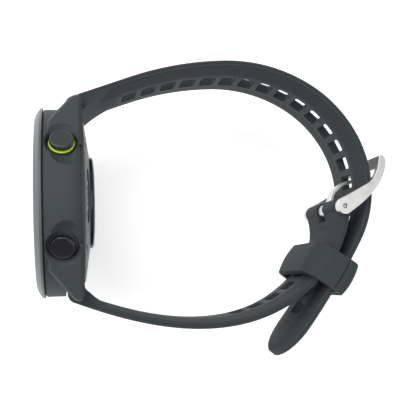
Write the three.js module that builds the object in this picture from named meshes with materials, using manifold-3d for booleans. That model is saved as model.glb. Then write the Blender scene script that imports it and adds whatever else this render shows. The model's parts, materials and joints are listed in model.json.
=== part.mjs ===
// A satellite running watch lying on its nine o'clock side with its strap buckled into a loop.
// Frame, in millimetres: the origin is the middle of the sensor window on the case back,
// +X points out of the case back to the wrist, +Y to twelve o'clock and +Z to three o'clock.
// Axial places are X values and are measured from the sensor window; radii are about the X axis.
import * as THREE from 'three';
import { mergeVertices } from 'three/addons/utils/BufferGeometryUtils.js';
import Module from 'manifold-3d';

const wasm = await Module();
wasm.setup();

// Clearances between pieces.
const slack = 0.05;
const fitGap = 0.1;
const seamGap = 0.25;
const runningGap = 0.08;

// Case stack, from the wrist side to the display side.
const sensorRise = 1.15;
const coverSlopeRise = 1.3;
const coverRimHeight = 0.9;
const bodyHeight = 8.2;
const bezelHeight = 1.85;

// Case body.
const caseRadius = 23.05;
const bodyInset = 0.35;
const bodyWall = 5.7;
const bodyBackTaper = 1.3;
const bodyTaperStart = 3;
const recessDepth = 0.75;
const recessLip = 3;

// Bezel and display.
const bezelChamfer = 2.9;
const spigotWall = 0.7;
const glassThickness = 1.15;
const glassProud = 0.2;
const gasketThickness = 0.2;
const panelThickness = 1;
const displayFitGap = 0.12;

// Back cover, its screws and its charging port.
const coverInset = 2.65;
const coverPlate = 1.7;
const coverSpigotHeight = 1;
const coverSpigotWall = 1.2;
const coverGasketWidth = 0.5;
const coverGasketInset = 0.35;
const screwInset = 1.7;
const screwLead = 9;
const screwHeadRadius = 1.15;
const screwHeadHeight = 0.5;
const screwShankRadius = 0.55;
const screwLength = 4.2;
const screwSocketRadius = 0.5;
const portShift = 0.9;
const portLength = 12.4;
const portWidth = 4.2;
const portFloor = 0.45;
const contactPitch = 1.88;
const contactRadius = 0.5;
const contactCount = 4;

// Heart rate sensor.
const sensorRimRadius = 11.2;
const sensorRimWidth = 1.2;
const sensorRimDrop = 0.15;
const sensorSlope = 0.55;
const windowThickness = 1.2;
const windowChamfer = 0.25;
const counterboreDepth = 1.1;
const sensorBoardThickness = 0.6;
const sensorBoardInset = 0.8;
const lightSize = 1.7;
const diodeSize = 2.6;
const lightHeight = 0.7;
const sensorSpacing = 4.1;

// Electronics.
const boardThickness = 0.9;
const frameThickness = 0.35;
const batteryThickness = 3.9;
const batteryShift = 1.2;
const batteryWallGap = 1.16;
const antennaWidth = 3.2;
const antennaThickness = 0.5;
const antennaSpan = 60;
const motorRadius = 1.8;
const motorLength = 7;
const motorShaftRadius = 0.35;
const weightRadius = 1.6;
const weightLength = 2.4;
const beeperSpare = 1.3;
const beeperThickness = 0.5;

// Buttons. Angles are measured from three o'clock towards twelve.
const buttonAngle = 31;
const buttonCapRadius = 2.72;
const buttonCapHeight = 1.25;
const buttonShankHeight = 0.75;
const buttonShankInset = 0.4;
const buttonProud = 0.95;
const buttonDome = 0.35;
const buttonStemRadius = 1;
const buttonTravel = 0.5;
const buttonWellGap = 0.75;
const buttonWellFlare = 0.9;
const clipWidth = 0.7;
const clipThickness = 0.4;
const switchSize = 2.6;
const switchHeight = 1;

// Lugs and quick-release spring bars.
const strapWidth = 22;
const sideGap = 0.35;
const barInset = 0.7;
const lugShoulder = 1.05;
const lugOverhang = 1.75;
const barDepth = 4.45;
const barRadius = 0.75;
const barTipRadius = 0.45;
const barTipLength = 1.3;
const lugThickness = 4.1;
const lugRootY = 11.35;
const pinRadius = 0.36;
const pinLength = 5.5;
const releaseTravel = 1.2;
const knobLength = 1.9;
const knobNotchReach = 5;

// Strap halves.
const strapThickness = 2.3;
const strapEdge = 1.5;
const edgeSoftening = 0.3;
const plateauWidth = 10;
const knuckleRadius = 2.2;
const tailHeading = 19.8;
const tailBends = [
  { length: 14.8, turn: 0 },
  { length: 24, turn: -17.7 },
  { length: 22, turn: -32.6 },
  { length: 16, turn: -28.5 },
  { length: 16, turn: -31.5 },
  { length: 14, turn: -29.8 },
  { length: 34.7, turn: -11.3 },
];
const tailTipLength = 9;
const slotLength = 3.4;
const slotWidth = 6.5;
const slotPitch = 5.4;
const tailFirstSlot = 14.4;
const tailSlotCount = 22;
const buckleStrapHeading = -21.2;
const buckleStrapSlotCount = 6;
const buckleStrapFirstSlot = 42;
const strapOverlapGap = 1.43;
const lowerBendStart = 11.7;
const lowerBendEnd = 30.5;
const keeperLean = 7.7;
const upperBendReach = 5;
const strapEndLean = 12;
const pathSteps = 40;

// Buckle, prong and keeper. The buckle is drawn from its pivot, with x out of the tail and y up it.
const buckledSlot = 14;
const pivotDrop = 6.9;
const pivotGap = 4.2;
const buckleArmThickness = 1.7;
const buckleEndRadius = 2.05;
const buckleInnerKnee = [7.2, 5.2];
const buckleInnerBend = [10, 7.3];
const buckleInnerTip = [10.6, 11.6];
const buckleOuterKnee = [1.4, -1.5];
const buckleOuterBend = [11, 3.4];
const buckleOuterTip = [12.2, 10];
const buckleCrown = [12.2, 12];
const buckleBarHeight = 3.1;
const buckleBarRadius = 0.75;
const prongThickness = 0.9;
const prongWidth = 2.6;
const prongKnuckleRadius = 1.7;
const prongKnuckleWidth = 3.8;
const prongSeatGap = 0.25;
const prongRoot = [0.5, 1.1];
const prongElbow = [2.2, 4.6];
const prongLean = 0.4;
const prongBend = 0.9;
const prongTipLength = 2.4;
const buckleEyeTop = 115;
const keeperDistance = 27;
const keeperLength = 8.5;
const keeperWall = 1.6;
const keeperOuterWall = 1.75;
const keeperRoom = 0.45;
const keeperInnerRoom = 1.85;
const keeperCorner = 2.4;

// Smoothness of round work.
const caseSegments = 48;
const ringSegments = 32;
const smallSegments = 16;
const tinySegments = 8;

// Derived places along X.
const coverTopX = -sensorRise;
const coverRimX = coverTopX - coverSlopeRise;
const coverSeatX = coverRimX - coverRimHeight;
const bodyBackX = coverSeatX - slack;
const bodyFrontX = bodyBackX - bodyHeight;
const bezelBackX = bodyFrontX - seamGap;
const bezelFrontX = bezelBackX - bezelHeight;
const glassFrontX = bezelFrontX + glassProud;
const glassBackX = glassFrontX + glassThickness;
const ledgeX = glassBackX + gasketThickness + 2 * slack;
const recessFloorX = bodyFrontX + recessDepth;
const coverInnerX = coverTopX - coverPlate;
const spigotEndX = coverSeatX - coverSpigotHeight;
const counterboreX = coverTopX - counterboreDepth;
const panelBackX = glassBackX + fitGap + panelThickness;
const boardFrontX = recessFloorX + seamGap;
const boardBackX = boardFrontX + boardThickness;
const frameFrontX = boardBackX + fitGap;
const frameBackX = frameFrontX + frameThickness;
const batteryFrontX = frameBackX + fitGap;
const buttonX = (bodyFrontX + bodyBackX) / 2;

// Derived radii.
const bodyRadius = caseRadius - bodyInset;
const cavityRadius = bodyRadius - bodyWall;
const recessRadius = bodyRadius - recessLip;
const spigotRadius = recessRadius - fitGap;
const glassRadius = caseRadius - bezelChamfer - displayFitGap;
const spigotBoreRadius = spigotRadius - spigotWall;
const panelRadius = spigotBoreRadius - fitGap;
const bezelLipRadius = caseRadius - bezelChamfer;
const coverRadius = caseRadius - coverInset;
const coverSpigotRadius = cavityRadius - fitGap;
const screwCircle = coverRadius - screwInset;
const portCentreZ = (sensorRimRadius + coverRadius) / 2 - portShift;
const windowRadius = sensorRimRadius - sensorRimWidth;
const sensorBoardRadius = windowRadius - sensorBoardInset;
const coverSpigotBore = coverSpigotRadius - coverSpigotWall;
const beeperRadius = (coverSpigotBore - sensorBoardRadius - beeperSpare) / 2;
const interiorRadius = cavityRadius - 2 * seamGap;
const batteryHalf = (interiorRadius - batteryShift - batteryWallGap) / Math.SQRT2;
const barY = bodyRadius - barInset;
const halfStrap = strapWidth / 2;
const lugInnerZ = halfStrap + sideGap;
const lugOuterZ = lugInnerZ + lugThickness;
const buckleOuterZ = lugInnerZ + buckleArmThickness;

const xAxis = new THREE.Vector3(1, 0, 0);
const zAxis = new THREE.Vector3(0, 0, 1);
const radians = THREE.MathUtils.degToRad;

const finishes = {
  caseResin: { color: 0x353c3f, roughness: 0.6, metalness: 0 },
  bezelResin: { color: 0x565e61, roughness: 0.4, metalness: 0 },
  strapSilicone: { color: 0x30393d, roughness: 0.65, metalness: 0 },
  blackGloss: { color: 0x0b0d0f, roughness: 0.12, metalness: 0 },
  darkCap: { color: 0x2c3235, roughness: 0.45, metalness: 0 },
  limeAccent: { color: 0xcdea2a, roughness: 0.45, metalness: 0 },
  steel: { color: 0xd9dad8, roughness: 0.35, metalness: 1 },
  contactMetal: { color: 0xdedbd2, roughness: 0.25, metalness: 1 },
  gasketRubber: { color: 0x1b1d1f, roughness: 0.8, metalness: 0 },
  circuitBoard: { color: 0x14512f, roughness: 0.5, metalness: 0 },
  cellFoil: { color: 0x8f979b, roughness: 0.4, metalness: 0.6 },
  antennaCopper: { color: 0xb87333, roughness: 0.4, metalness: 1 },
  brassAlloy: { color: 0xc4a24c, roughness: 0.4, metalness: 1 },
  greenEmitter: { color: 0x63d96b, roughness: 0.3, metalness: 0 },
  diodeGrey: { color: 0x3d4450, roughness: 0.3, metalness: 0 },
  sensorRimSteel: { color: 0xaeb3b5, roughness: 0.3, metalness: 0.8 },
};

const watch = new THREE.Group();

// Turns a closed geometry into a solid that can be joined and cut.
function solidOf(geometry) {
  const bare = geometry.index ? geometry.toNonIndexed() : geometry.clone();
  bare.deleteAttribute('normal');
  bare.deleteAttribute('uv');
  const merged = mergeVertices(bare);
  const corners = [];
  for (let i = 0; i < merged.index.count; i += 3) {
    const [a, b, c] = [0, 1, 2].map((step) => merged.index.getX(i + step));
    if (a !== b && b !== c && c !== a) corners.push(a, b, c);
  }
  return new wasm.Manifold(new wasm.Mesh({
    numProp: 3,
    vertProperties: new Float32Array(merged.attributes.position.array),
    triVerts: new Uint32Array(corners),
  }));
}

// Puts a finished solid into the watch as a named mesh of its own.
function addPiece(name, solid, finish) {
  const { vertProperties, triVerts } = solid.getMesh();
  const geometry = new THREE.BufferGeometry();
  geometry.setAttribute('position', new THREE.BufferAttribute(vertProperties, 3));
  geometry.setIndex(new THREE.BufferAttribute(triVerts, 1));
  geometry.computeVertexNormals();
  const mesh = new THREE.Mesh(geometry, new THREE.MeshStandardMaterial(finish));
  mesh.name = name;
  watch.add(mesh);
}

// A solid turned about an axis. The profile's points are [place along the axis, radius].
function turned(profile, segments, origin = new THREE.Vector3(), axis = xAxis) {
  const points = profile.map(([along, radius]) => new THREE.Vector2(radius, along));
  if (profile[0][1] > 0) points.push(points[0].clone());
  if (THREE.ShapeUtils.area(points) < 0) points.reverse();
  const geometry = new THREE.LatheGeometry(points, segments);
  geometry.rotateZ(-Math.PI / 2);
  geometry.applyQuaternion(new THREE.Quaternion().setFromUnitVectors(xAxis, axis));
  geometry.translate(origin.x, origin.y, origin.z);
  return solidOf(geometry);
}

// A plain round bar between two places along an axis.
function rod(from, to, radius, segments, origin, axis) {
  return turned([[from, 0], [from, radius], [to, radius], [to, 0]], segments, origin, axis);
}

// A ring between two places along an axis.
function ring(from, to, inner, outer, segments, origin, axis) {
  return turned([[from, inner], [from, outer], [to, outer], [to, inner]], segments, origin, axis);
}

// A block between two opposite corners, turned about Z by an angle at its origin.
function block(low, high, origin = new THREE.Vector3(), angle = 0) {
  const size = high.map((value, i) => value - low[i]);
  const geometry = new THREE.BoxGeometry(...size);
  geometry.translate(...size.map((value, i) => low[i] + value / 2));
  geometry.rotateZ(angle);
  geometry.translate(origin.x, origin.y, origin.z);
  return solidOf(geometry);
}

// A side outline in X and Y, made solid between two heights.
function slab(outline, fromZ, toZ, origin = new THREE.Vector3(), angle = 0) {
  const geometry = new THREE.ExtrudeGeometry(outline, {
    depth: toZ - fromZ,
    bevelEnabled: false,
    curveSegments: tinySegments,
  });
  geometry.translate(0, 0, fromZ);
  geometry.rotateZ(angle);
  geometry.translate(origin.x, origin.y, origin.z);
  return solidOf(geometry);
}

function polygon(points) {
  return new THREE.Shape(points.map(([x, y]) => new THREE.Vector2(x, y)));
}

// The direction out of the case at an angle from three o'clock towards twelve.
function outward(degrees) {
  return new THREE.Vector3(0, Math.sin(radians(degrees)), Math.cos(radians(degrees)));
}

// A level path of straight stretches and arcs, each smooth with the last.
class BentPath extends THREE.Curve {
  constructor(start, heading, bends) {
    super();
    this.start = start;
    this.heading = radians(heading);
    this.bends = bends;
    this.span = bends.reduce((sum, bend) => sum + bend.length, 0);
  }

  getPoint(t, target = new THREE.Vector3()) {
    let remaining = t * this.span;
    let heading = this.heading;
    target.copy(this.start);
    for (const { length, turn } of this.bends) {
      const step = Math.min(remaining, length);
      const change = radians(turn) * (step / length);
      const chord = change === 0 ? step : 2 * (step / change) * Math.sin(change / 2);
      target.x += chord * Math.cos(heading + change / 2);
      target.y += chord * Math.sin(heading + change / 2);
      heading += change;
      remaining -= step;
    }
    return target;
  }
}

// The place, heading and left-hand direction at a distance along a level path.
function stationOn(path, distance) {
  const u = Math.min(distance / path.getLength(), 1);
  const tangent = path.getTangentAt(u);
  return {
    point: path.getPointAt(u),
    heading: Math.atan2(tangent.y, tangent.x),
    left: new THREE.Vector3(-tangent.y, tangent.x, 0),
    tangent,
  };
}

function along(origin, ...steps) {
  const place = origin.clone();
  for (const [direction, distance] of steps) place.addScaledVector(direction, distance);
  return place;
}

// The strap's cross section: thin softened edges that rise to a flat plateau on the skin side.
function strapSection(skinSide) {
  const depth = (value) => skinSide * value;
  const half = [
    [halfStrap, depth(edgeSoftening)],
    [halfStrap, depth(strapEdge - edgeSoftening)],
    [halfStrap - edgeSoftening, depth(strapEdge)],
    [plateauWidth / 2, depth(strapThickness)],
  ];
  const mirrored = half.map(([z, y]) => [-z, y]).reverse();
  const outer = halfStrap - edgeSoftening;
  return polygon([[outer, 0], ...half, ...mirrored, [-outer, 0]]);
}

function strapBand(path, skinSide) {
  const options = { steps: pathSteps, extrudePath: path, bevelEnabled: false };
  return solidOf(new THREE.ExtrudeGeometry(strapSection(skinSide), options));
}

// An opening cut square through a strap at a station on its path.
function slotCut(path, distance) {
  const { point, heading } = stationOn(path, distance);
  const reach = 2 * strapThickness;
  const low = [-slotLength / 2, -reach, -slotWidth / 2];
  const high = [slotLength / 2, reach, slotWidth / 2];
  return block(low, high, point, heading);
}

const barPlace = (side) => new THREE.Vector3(-barDepth, side * barY, 0);

// The strap's outer face starts straight above its bar, square to its first heading.
function strapStart(side, heading) {
  const normal = new THREE.Vector3(-Math.sin(radians(heading)), Math.cos(radians(heading)), 0);
  return along(barPlace(side), [normal, side * knuckleRadius]);
}

const tailPath = new BentPath(strapStart(1, tailHeading), tailHeading, tailBends);
const buckled = stationOn(tailPath, tailFirstSlot + buckledSlot * slotPitch);
const upTail = buckled.tangent.clone().negate();
const pivotDepth = strapThickness + pivotGap + knuckleRadius;
const pivot = along(buckled.point, [buckled.left, -pivotDepth], [upTail, -pivotDrop]);
const buckleAngle = buckled.heading + Math.PI / 2;
const keeperStation = stationOn(tailPath, tailFirstSlot + buckledSlot * slotPitch + keeperDistance);

// The outer face of the buckle strap, from its bar through the keeper to the buckle's pivot.
function buckleStrapPath() {
  const heading = (angle) => new THREE.Vector3(Math.cos(angle), Math.sin(angle), 0);
  const start = strapStart(-1, buckleStrapHeading);
  const startWay = heading(radians(buckleStrapHeading));
  const keeperWay = heading(keeperStation.heading + Math.PI - radians(keeperLean));
  const underTail = strapThickness + strapOverlapGap;
  const middle = along(keeperStation.point, [keeperStation.left, -underTail]);
  const endWay = heading(buckled.heading + Math.PI - radians(strapEndLean));
  const endOut = new THREE.Vector3(endWay.y, -endWay.x, 0);
  const end = along(pivot, [endOut, knuckleRadius]);
  const path = new THREE.CurvePath();
  path.add(new THREE.CubicBezierCurve3(
    start,
    along(start, [startWay, lowerBendStart]),
    along(middle, [keeperWay, -lowerBendEnd]),
    middle,
  ));
  path.add(new THREE.CubicBezierCurve3(
    middle,
    along(middle, [keeperWay, upperBendReach]),
    along(end, [endWay, -upperBendReach]),
    end,
  ));
  return path;
}

const bucklePath = buckleStrapPath();

// A lug's side outline, from the case edge out to its rounded tip over the spring bar.
function lugOutline() {
  const tipY = barY + lugOverhang;
  const rootX = bodyFrontX + 2 * lugShoulder;
  return polygon([
    [rootX, 0],
    [rootX, barY - lugShoulder],
    [rootX + lugShoulder, barY],
    [-barDepth - lugShoulder / 2, tipY],
    [-barDepth + lugShoulder / 2, tipY - lugShoulder / 4],
    [bodyBackX, barY],
    [bodyBackX, 0],
  ]);
}

// The lug seen from the back: square to the strap inside, sloping in to the tip outside.
function lugPlan() {
  const length = barY + 2 * lugOverhang;
  const rootZ = Math.sqrt(bodyRadius ** 2 - lugRootY ** 2);
  const slopeTop = lugInnerZ + lugThickness / 2;
  return polygon([
    [lugInnerZ, lugRootY],
    [rootZ, lugRootY],
    [lugOuterZ, barY - lugShoulder],
    [slopeTop, length],
    [lugInnerZ, length],
  ]);
}

function lug(sideY, sideZ) {
  const side = new THREE.ExtrudeGeometry(lugOutline(), { depth: 2 * lugOuterZ, bevelEnabled: false });
  const plan = new THREE.ExtrudeGeometry(lugPlan(), { depth: bodyHeight * 2, bevelEnabled: false });
  plan.rotateY(-Math.PI / 2);
  plan.translate(bodyBackX, 0, 0);
  const oneLug = solidOf(side).intersect(solidOf(plan));
  return mirroredSolid(oneLug, sideY, sideZ);
}

// Mirrors a solid across the Y and Z planes, with its faces still pointing out.
function mirroredSolid(solid, sideY, sideZ) {
  const { vertProperties, triVerts } = solid.getMesh();
  const places = vertProperties.map((value, i) => value * [1, sideY, sideZ][i % 3]);
  const corners = sideY * sideZ > 0 ? triVerts : triVerts.toReversed();
  return new wasm.Manifold(new wasm.Mesh({ numProp: 3, vertProperties: places, triVerts: corners }));
}

// The space that a strap end needs between the lugs.
function strapPocket(side) {
  const floorY = barY - knuckleRadius - sideGap;
  const wallX = -barDepth - knuckleRadius - sideGap;
  const reach = caseRadius;
  const low = [wallX, side > 0 ? floorY : -floorY - reach, -lugInnerZ];
  const high = [reach, side > 0 ? floorY + reach : -floorY, lugInnerZ];
  return block(low, high);
}

const buttonAngles = {
  start: buttonAngle,
  back: -buttonAngle,
  light: 180 - buttonAngle,
  up: 180,
  down: 180 + buttonAngle,
};
const buttonSeat = bodyRadius - buttonCapHeight - buttonShankHeight + buttonProud;
const wellFloor = buttonSeat - buttonTravel - fitGap;
const buttonOrigin = new THREE.Vector3(buttonX, 0, 0);

// A button's round well in the case side, flared where it opens.
function buttonWell(degrees) {
  const wellRadius = buttonCapRadius + buttonWellGap;
  const mouth = wellRadius + buttonWellFlare;
  const axis = outward(degrees);
  const profile = [
    [wellFloor, 0],
    [wellFloor, wellRadius],
    [bodyRadius - buttonWellFlare, wellRadius],
    [caseRadius + buttonWellFlare, mouth],
    [caseRadius + buttonWellFlare, 0],
  ];
  const hole = rod(0, wellFloor + slack, buttonStemRadius + runningGap, tinySegments, buttonOrigin, axis);
  return turned(profile, smallSegments, buttonOrigin, axis).add(hole);
}

const screwAngle = buttonAngle + screwLead;
const screwPlaces = {
  upper_right: outward(screwAngle),
  lower_right: outward(-screwAngle),
  upper_left: outward(180 - screwAngle),
  lower_left: outward(180 + screwAngle),
};

function screwOrigin(direction) {
  return direction.clone().multiplyScalar(screwCircle);
}

const screwHeadTopX = coverSlopeX(screwCircle + screwHeadRadius) - slack;
const screwHeadX = screwHeadTopX - screwHeadHeight;

// The height of the cover's sloping face at a radius.
function coverSlopeX(radius) {
  const share = (radius - sensorRimRadius) / (coverRadius - sensorRimRadius);
  return coverTopX - coverSlopeRise * share;
}

function gasketSpan() {
  const inner = cavityRadius + coverGasketInset;
  return { inner, outer: inner + coverGasketWidth };
}

function addCaseBody() {
  const profile = [
    [bodyFrontX, recessRadius],
    [bodyFrontX, bodyRadius],
    [bodyBackX - bodyTaperStart, bodyRadius],
    [bodyBackX, bodyRadius - bodyBackTaper],
    [bodyBackX, cavityRadius],
    [recessFloorX, cavityRadius],
    [recessFloorX, recessRadius],
  ];
  let body = turned(profile, caseSegments);
  const cavity = rod(bodyFrontX - slack, bodyBackX + slack, cavityRadius, caseSegments);
  for (const sideY of [1, -1]) {
    for (const sideZ of [1, -1]) body = body.add(lug(sideY, sideZ).subtract(cavity));
    body = body.subtract(strapPocket(sideY));
    const tipHole = barTipRadius + fitGap;
    const reach = lugInnerZ + barTipLength + fitGap;
    body = body.subtract(rod(-reach, reach, tipHole, tinySegments, barPlace(sideY), zAxis));
  }
  for (const degrees of Object.values(buttonAngles)) body = body.subtract(buttonWell(degrees));
  for (const direction of Object.values(screwPlaces)) {
    const tip = screwHeadX - screwLength - fitGap;
    const hole = rod(tip, bodyBackX + slack, screwShankRadius + fitGap, tinySegments, screwOrigin(direction));
    body = body.subtract(hole);
  }
  const { inner, outer } = gasketSpan();
  const groove = ring(bodyBackX - coverGasketWidth, bodyBackX + slack, inner, outer, ringSegments);
  addPiece('case_body', body.subtract(groove), finishes.caseResin);
}

function addBezelAndDisplay() {
  const chamferStep = bezelChamfer / 4;
  const bezel = turned([
    [bezelFrontX, bezelLipRadius],
    [bezelFrontX + chamferStep / 2, caseRadius - bezelChamfer / 2],
    [bezelFrontX + chamferStep * 1.5, caseRadius - bezelChamfer / 8],
    [bezelFrontX + chamferStep * 2, caseRadius],
    [bezelBackX, caseRadius],
    [bezelBackX, spigotRadius],
    [recessFloorX - slack, spigotRadius],
    [recessFloorX - slack, spigotBoreRadius],
    [ledgeX, spigotBoreRadius],
    [ledgeX, bezelLipRadius],
  ], caseSegments);
  addPiece('bezel_ring', bezel, finishes.bezelResin);
  const glass = turned([
    [glassFrontX, 0],
    [glassFrontX, glassRadius - glassProud],
    [glassFrontX + glassProud, glassRadius],
    [glassBackX, glassRadius],
    [glassBackX, 0],
  ], caseSegments);
  addPiece('display_glass', glass, finishes.blackGloss);
  const sealFrom = glassBackX + slack;
  const seal = ring(sealFrom, sealFrom + gasketThickness, spigotBoreRadius, glassRadius, ringSegments);
  addPiece('display_gasket', seal, finishes.gasketRubber);
  const panel = rod(glassBackX + fitGap, panelBackX, panelRadius, ringSegments);
  addPiece('display_panel', panel, finishes.blackGloss);
}

function addElectronics() {
  const board = rod(boardFrontX, boardBackX, interiorRadius, ringSegments);
  addPiece('main_board', board, finishes.circuitBoard);
  const plate = rod(frameFrontX, frameBackX, interiorRadius, ringSegments);
  addPiece('inner_frame', plate, finishes.darkCap);
  const batteryLow = [batteryFrontX, batteryShift - batteryHalf, -batteryHalf];
  const batteryHigh = [batteryFrontX + batteryThickness, batteryShift + batteryHalf, batteryHalf];
  addPiece('battery', block(batteryLow, batteryHigh), finishes.cellFoil);
  addAntenna();
  addMotor();
  const beeperPlace = new THREE.Vector3(0, 0, -(sensorBoardRadius + beeperRadius + fitGap * 2));
  const beeperTop = coverInnerX - slack;
  const beeper = rod(beeperTop - beeperThickness, beeperTop, beeperRadius, smallSegments, beeperPlace);
  addPiece('beeper_disc', beeper, finishes.brassAlloy);
}

// The antenna is a curved strip that follows the case wall on the twelve o'clock side.
function addAntenna() {
  const outer = interiorRadius;
  const strip = new THREE.Shape();
  const from = radians(90 - antennaSpan / 2);
  const to = radians(90 + antennaSpan / 2);
  strip.absarc(0, 0, outer, from, to, false);
  strip.absarc(0, 0, outer - antennaThickness, to, from, true);
  const geometry = new THREE.ExtrudeGeometry(strip, {
    depth: antennaWidth,
    bevelEnabled: false,
    curveSegments: tinySegments,
  });
  geometry.rotateY(Math.PI / 2);
  geometry.translate(frameBackX + fitGap, 0, 0);
  addPiece('gps_antenna', solidOf(geometry), finishes.antennaCopper);
}

// The vibration motor's shaft carries a half-round weight in front of its can.
function addMotor() {
  const batteryEdge = batteryShift - batteryHalf;
  const place = new THREE.Vector3(batteryFrontX + motorRadius, batteryEdge - motorRadius - seamGap, 0);
  const canEnd = motorLength / 3;
  const canStart = canEnd - motorLength;
  const boreRadius = motorShaftRadius + runningGap;
  const bore = rod(canStart + motorRadius, canEnd + slack, boreRadius, tinySegments, place, zAxis);
  const can = rod(canStart, canEnd, motorRadius, smallSegments, place, zAxis).subtract(bore);
  addPiece('vibration_motor', can, finishes.steel);
  const weightStart = canEnd + seamGap;
  const weightEnd = weightStart + weightLength;
  const disc = rod(weightStart, weightEnd, weightRadius, smallSegments, place, zAxis);
  const upperHalf = block(
    [-weightRadius, 0, weightStart - slack],
    [weightRadius, weightRadius, weightEnd + slack],
    place,
  );
  const shaft = rod(canStart + 2 * motorRadius, weightEnd, motorShaftRadius, tinySegments, place, zAxis);
  addPiece('motor_weight', disc.subtract(upperHalf).add(shaft), finishes.brassAlloy);
}

// The cover's charging port, an oblong recess that cuts into the sloping face.
function portCut() {
  const radius = portWidth / 2;
  const half = portLength / 2 - radius;
  const outline = new THREE.Shape();
  outline.absarc(portCentreZ, half, radius, 0, Math.PI, false);
  outline.absarc(portCentreZ, -half, radius, Math.PI, 2 * Math.PI, false);
  const depth = coverPlate + coverSlopeRise;
  const options = { depth, bevelEnabled: false, curveSegments: tinySegments };
  const geometry = new THREE.ExtrudeGeometry(outline, options);
  geometry.rotateY(-Math.PI / 2);
  geometry.translate(coverInnerX + portFloor + depth, 0, 0);
  return solidOf(geometry);
}

function contactPlace(index) {
  const first = ((contactCount - 1) * contactPitch) / 2;
  return new THREE.Vector3(0, first - index * contactPitch, portCentreZ);
}

function addBackCover() {
  let cover = turned([
    [coverTopX, sensorRimRadius + fitGap],
    [coverRimX, coverRadius - bodyInset],
    [coverRimX - bodyInset, coverRadius],
    [coverSeatX, coverRadius],
    [coverSeatX, coverSpigotRadius],
    [spigotEndX, coverSpigotRadius],
    [spigotEndX, coverSpigotBore],
    [coverInnerX, coverSpigotBore],
    [coverInnerX, sensorBoardRadius + fitGap],
    [counterboreX, sensorBoardRadius + fitGap],
    [counterboreX, sensorRimRadius + fitGap],
  ], caseSegments);
  cover = cover.subtract(portCut()).subtract(strapPocket(1)).subtract(strapPocket(-1));
  for (const direction of Object.values(screwPlaces)) {
    const origin = screwOrigin(direction);
    const head = rod(screwHeadX - slack, 0, screwHeadRadius + fitGap, smallSegments, origin);
    const shank = rod(bodyBackX - slack, 0, screwShankRadius + fitGap, tinySegments, origin);
    cover = cover.subtract(head).subtract(shank);
  }
  for (let i = 0; i < contactCount; i += 1) {
    cover = cover.subtract(rod(bodyBackX, 0, contactRadius + slack, tinySegments, contactPlace(i)));
  }
  addPiece('back_cover', cover, finishes.caseResin);
  const { inner, outer } = gasketSpan();
  const gasketFrom = bodyBackX - coverGasketWidth + slack;
  const gasket = ring(gasketFrom, coverSeatX - slack / 2, inner + slack, outer - slack, ringSegments);
  addPiece('back_gasket', gasket, finishes.gasketRubber);
  addScrews();
  addContacts();
}

function addScrews() {
  for (const [place, direction] of Object.entries(screwPlaces)) {
    const origin = screwOrigin(direction);
    const head = rod(screwHeadX, screwHeadTopX, screwHeadRadius, smallSegments, origin);
    const shank = rod(screwHeadX - screwLength, screwHeadX + slack, screwShankRadius, tinySegments, origin);
    const socket = rod(screwHeadX + screwHeadHeight / 2, 0, screwSocketRadius, 6, origin);
    addPiece(`cover_screw_${place}`, head.add(shank).subtract(socket), finishes.steel);
  }
}

function addContacts() {
  const faceX = coverInnerX + portFloor - slack;
  for (let i = 0; i < contactCount; i += 1) {
    const pin = rod(coverInnerX - portFloor, faceX, contactRadius, tinySegments, contactPlace(i));
    addPiece(`charge_contact_${i + 1}`, pin, finishes.contactMetal);
  }
}

function addSensor() {
  const rimBack = counterboreX + slack;
  const rim = turned([
    [rimBack, windowRadius],
    [rimBack, sensorRimRadius],
    [-sensorSlope, sensorRimRadius],
    [-sensorRimDrop, windowRadius + sensorSlope],
    [-sensorRimDrop, windowRadius],
  ], ringSegments);
  addPiece('sensor_rim', rim, finishes.sensorRimSteel);
  const windowBack = -windowThickness;
  const lens = windowRadius - fitGap;
  const sensorWindow = turned([
    [0, 0],
    [0, lens - windowChamfer * 3],
    [-windowChamfer, lens],
    [windowBack, lens],
    [windowBack, 0],
  ], ringSegments);
  addPiece('sensor_window', sensorWindow, finishes.blackGloss);
  const boardTop = windowBack - fitGap - lightHeight;
  const board = rod(boardTop - sensorBoardThickness, boardTop, sensorBoardRadius, ringSegments);
  addPiece('sensor_board', board, finishes.circuitBoard);
  const chips = {
    green_led_upper: { place: [sensorSpacing, 0], size: lightSize, finish: finishes.greenEmitter },
    green_led_lower: { place: [-sensorSpacing, 0], size: lightSize, finish: finishes.greenEmitter },
    photodiode_right: { place: [0, sensorSpacing], size: diodeSize, finish: finishes.diodeGrey },
    photodiode_left: { place: [0, -sensorSpacing], size: diodeSize, finish: finishes.diodeGrey },
  };
  for (const [name, { place, size, finish }] of Object.entries(chips)) {
    const half = size / 2;
    const low = [boardTop, place[0] - half, place[1] - half];
    const high = [windowBack - fitGap, place[0] + half, place[1] + half];
    addPiece(name, block(low, high), finish);
  }
}

// A button is a capped shank with a stem that runs through the case wall.
function buttonSolid(axis) {
  const shankTop = buttonSeat + buttonShankHeight;
  const capTop = shankTop + buttonCapHeight;
  const shankRadius = buttonCapRadius - buttonShankInset;
  const stemEnd = cavityRadius - 2 * clipThickness;
  const grooveFrom = stemEnd + clipThickness / 2;
  const grooveRadius = buttonStemRadius - 2 * fitGap;
  const grooveTo = grooveFrom + clipThickness + 2 * slack;
  return turned([
    [stemEnd, 0],
    [stemEnd, buttonStemRadius],
    [grooveFrom, buttonStemRadius],
    [grooveFrom, grooveRadius],
    [grooveTo, grooveRadius],
    [grooveTo, buttonStemRadius],
    [buttonSeat, buttonStemRadius],
    [buttonSeat, shankRadius],
    [shankTop, shankRadius],
    [shankTop, buttonCapRadius],
    [capTop - buttonDome, buttonCapRadius],
    [capTop - buttonDome / 3, buttonCapRadius - buttonDome / 2],
    [capTop, buttonCapRadius - buttonDome * 2],
    [capTop, 0],
  ], smallSegments, buttonOrigin, axis);
}

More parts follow.
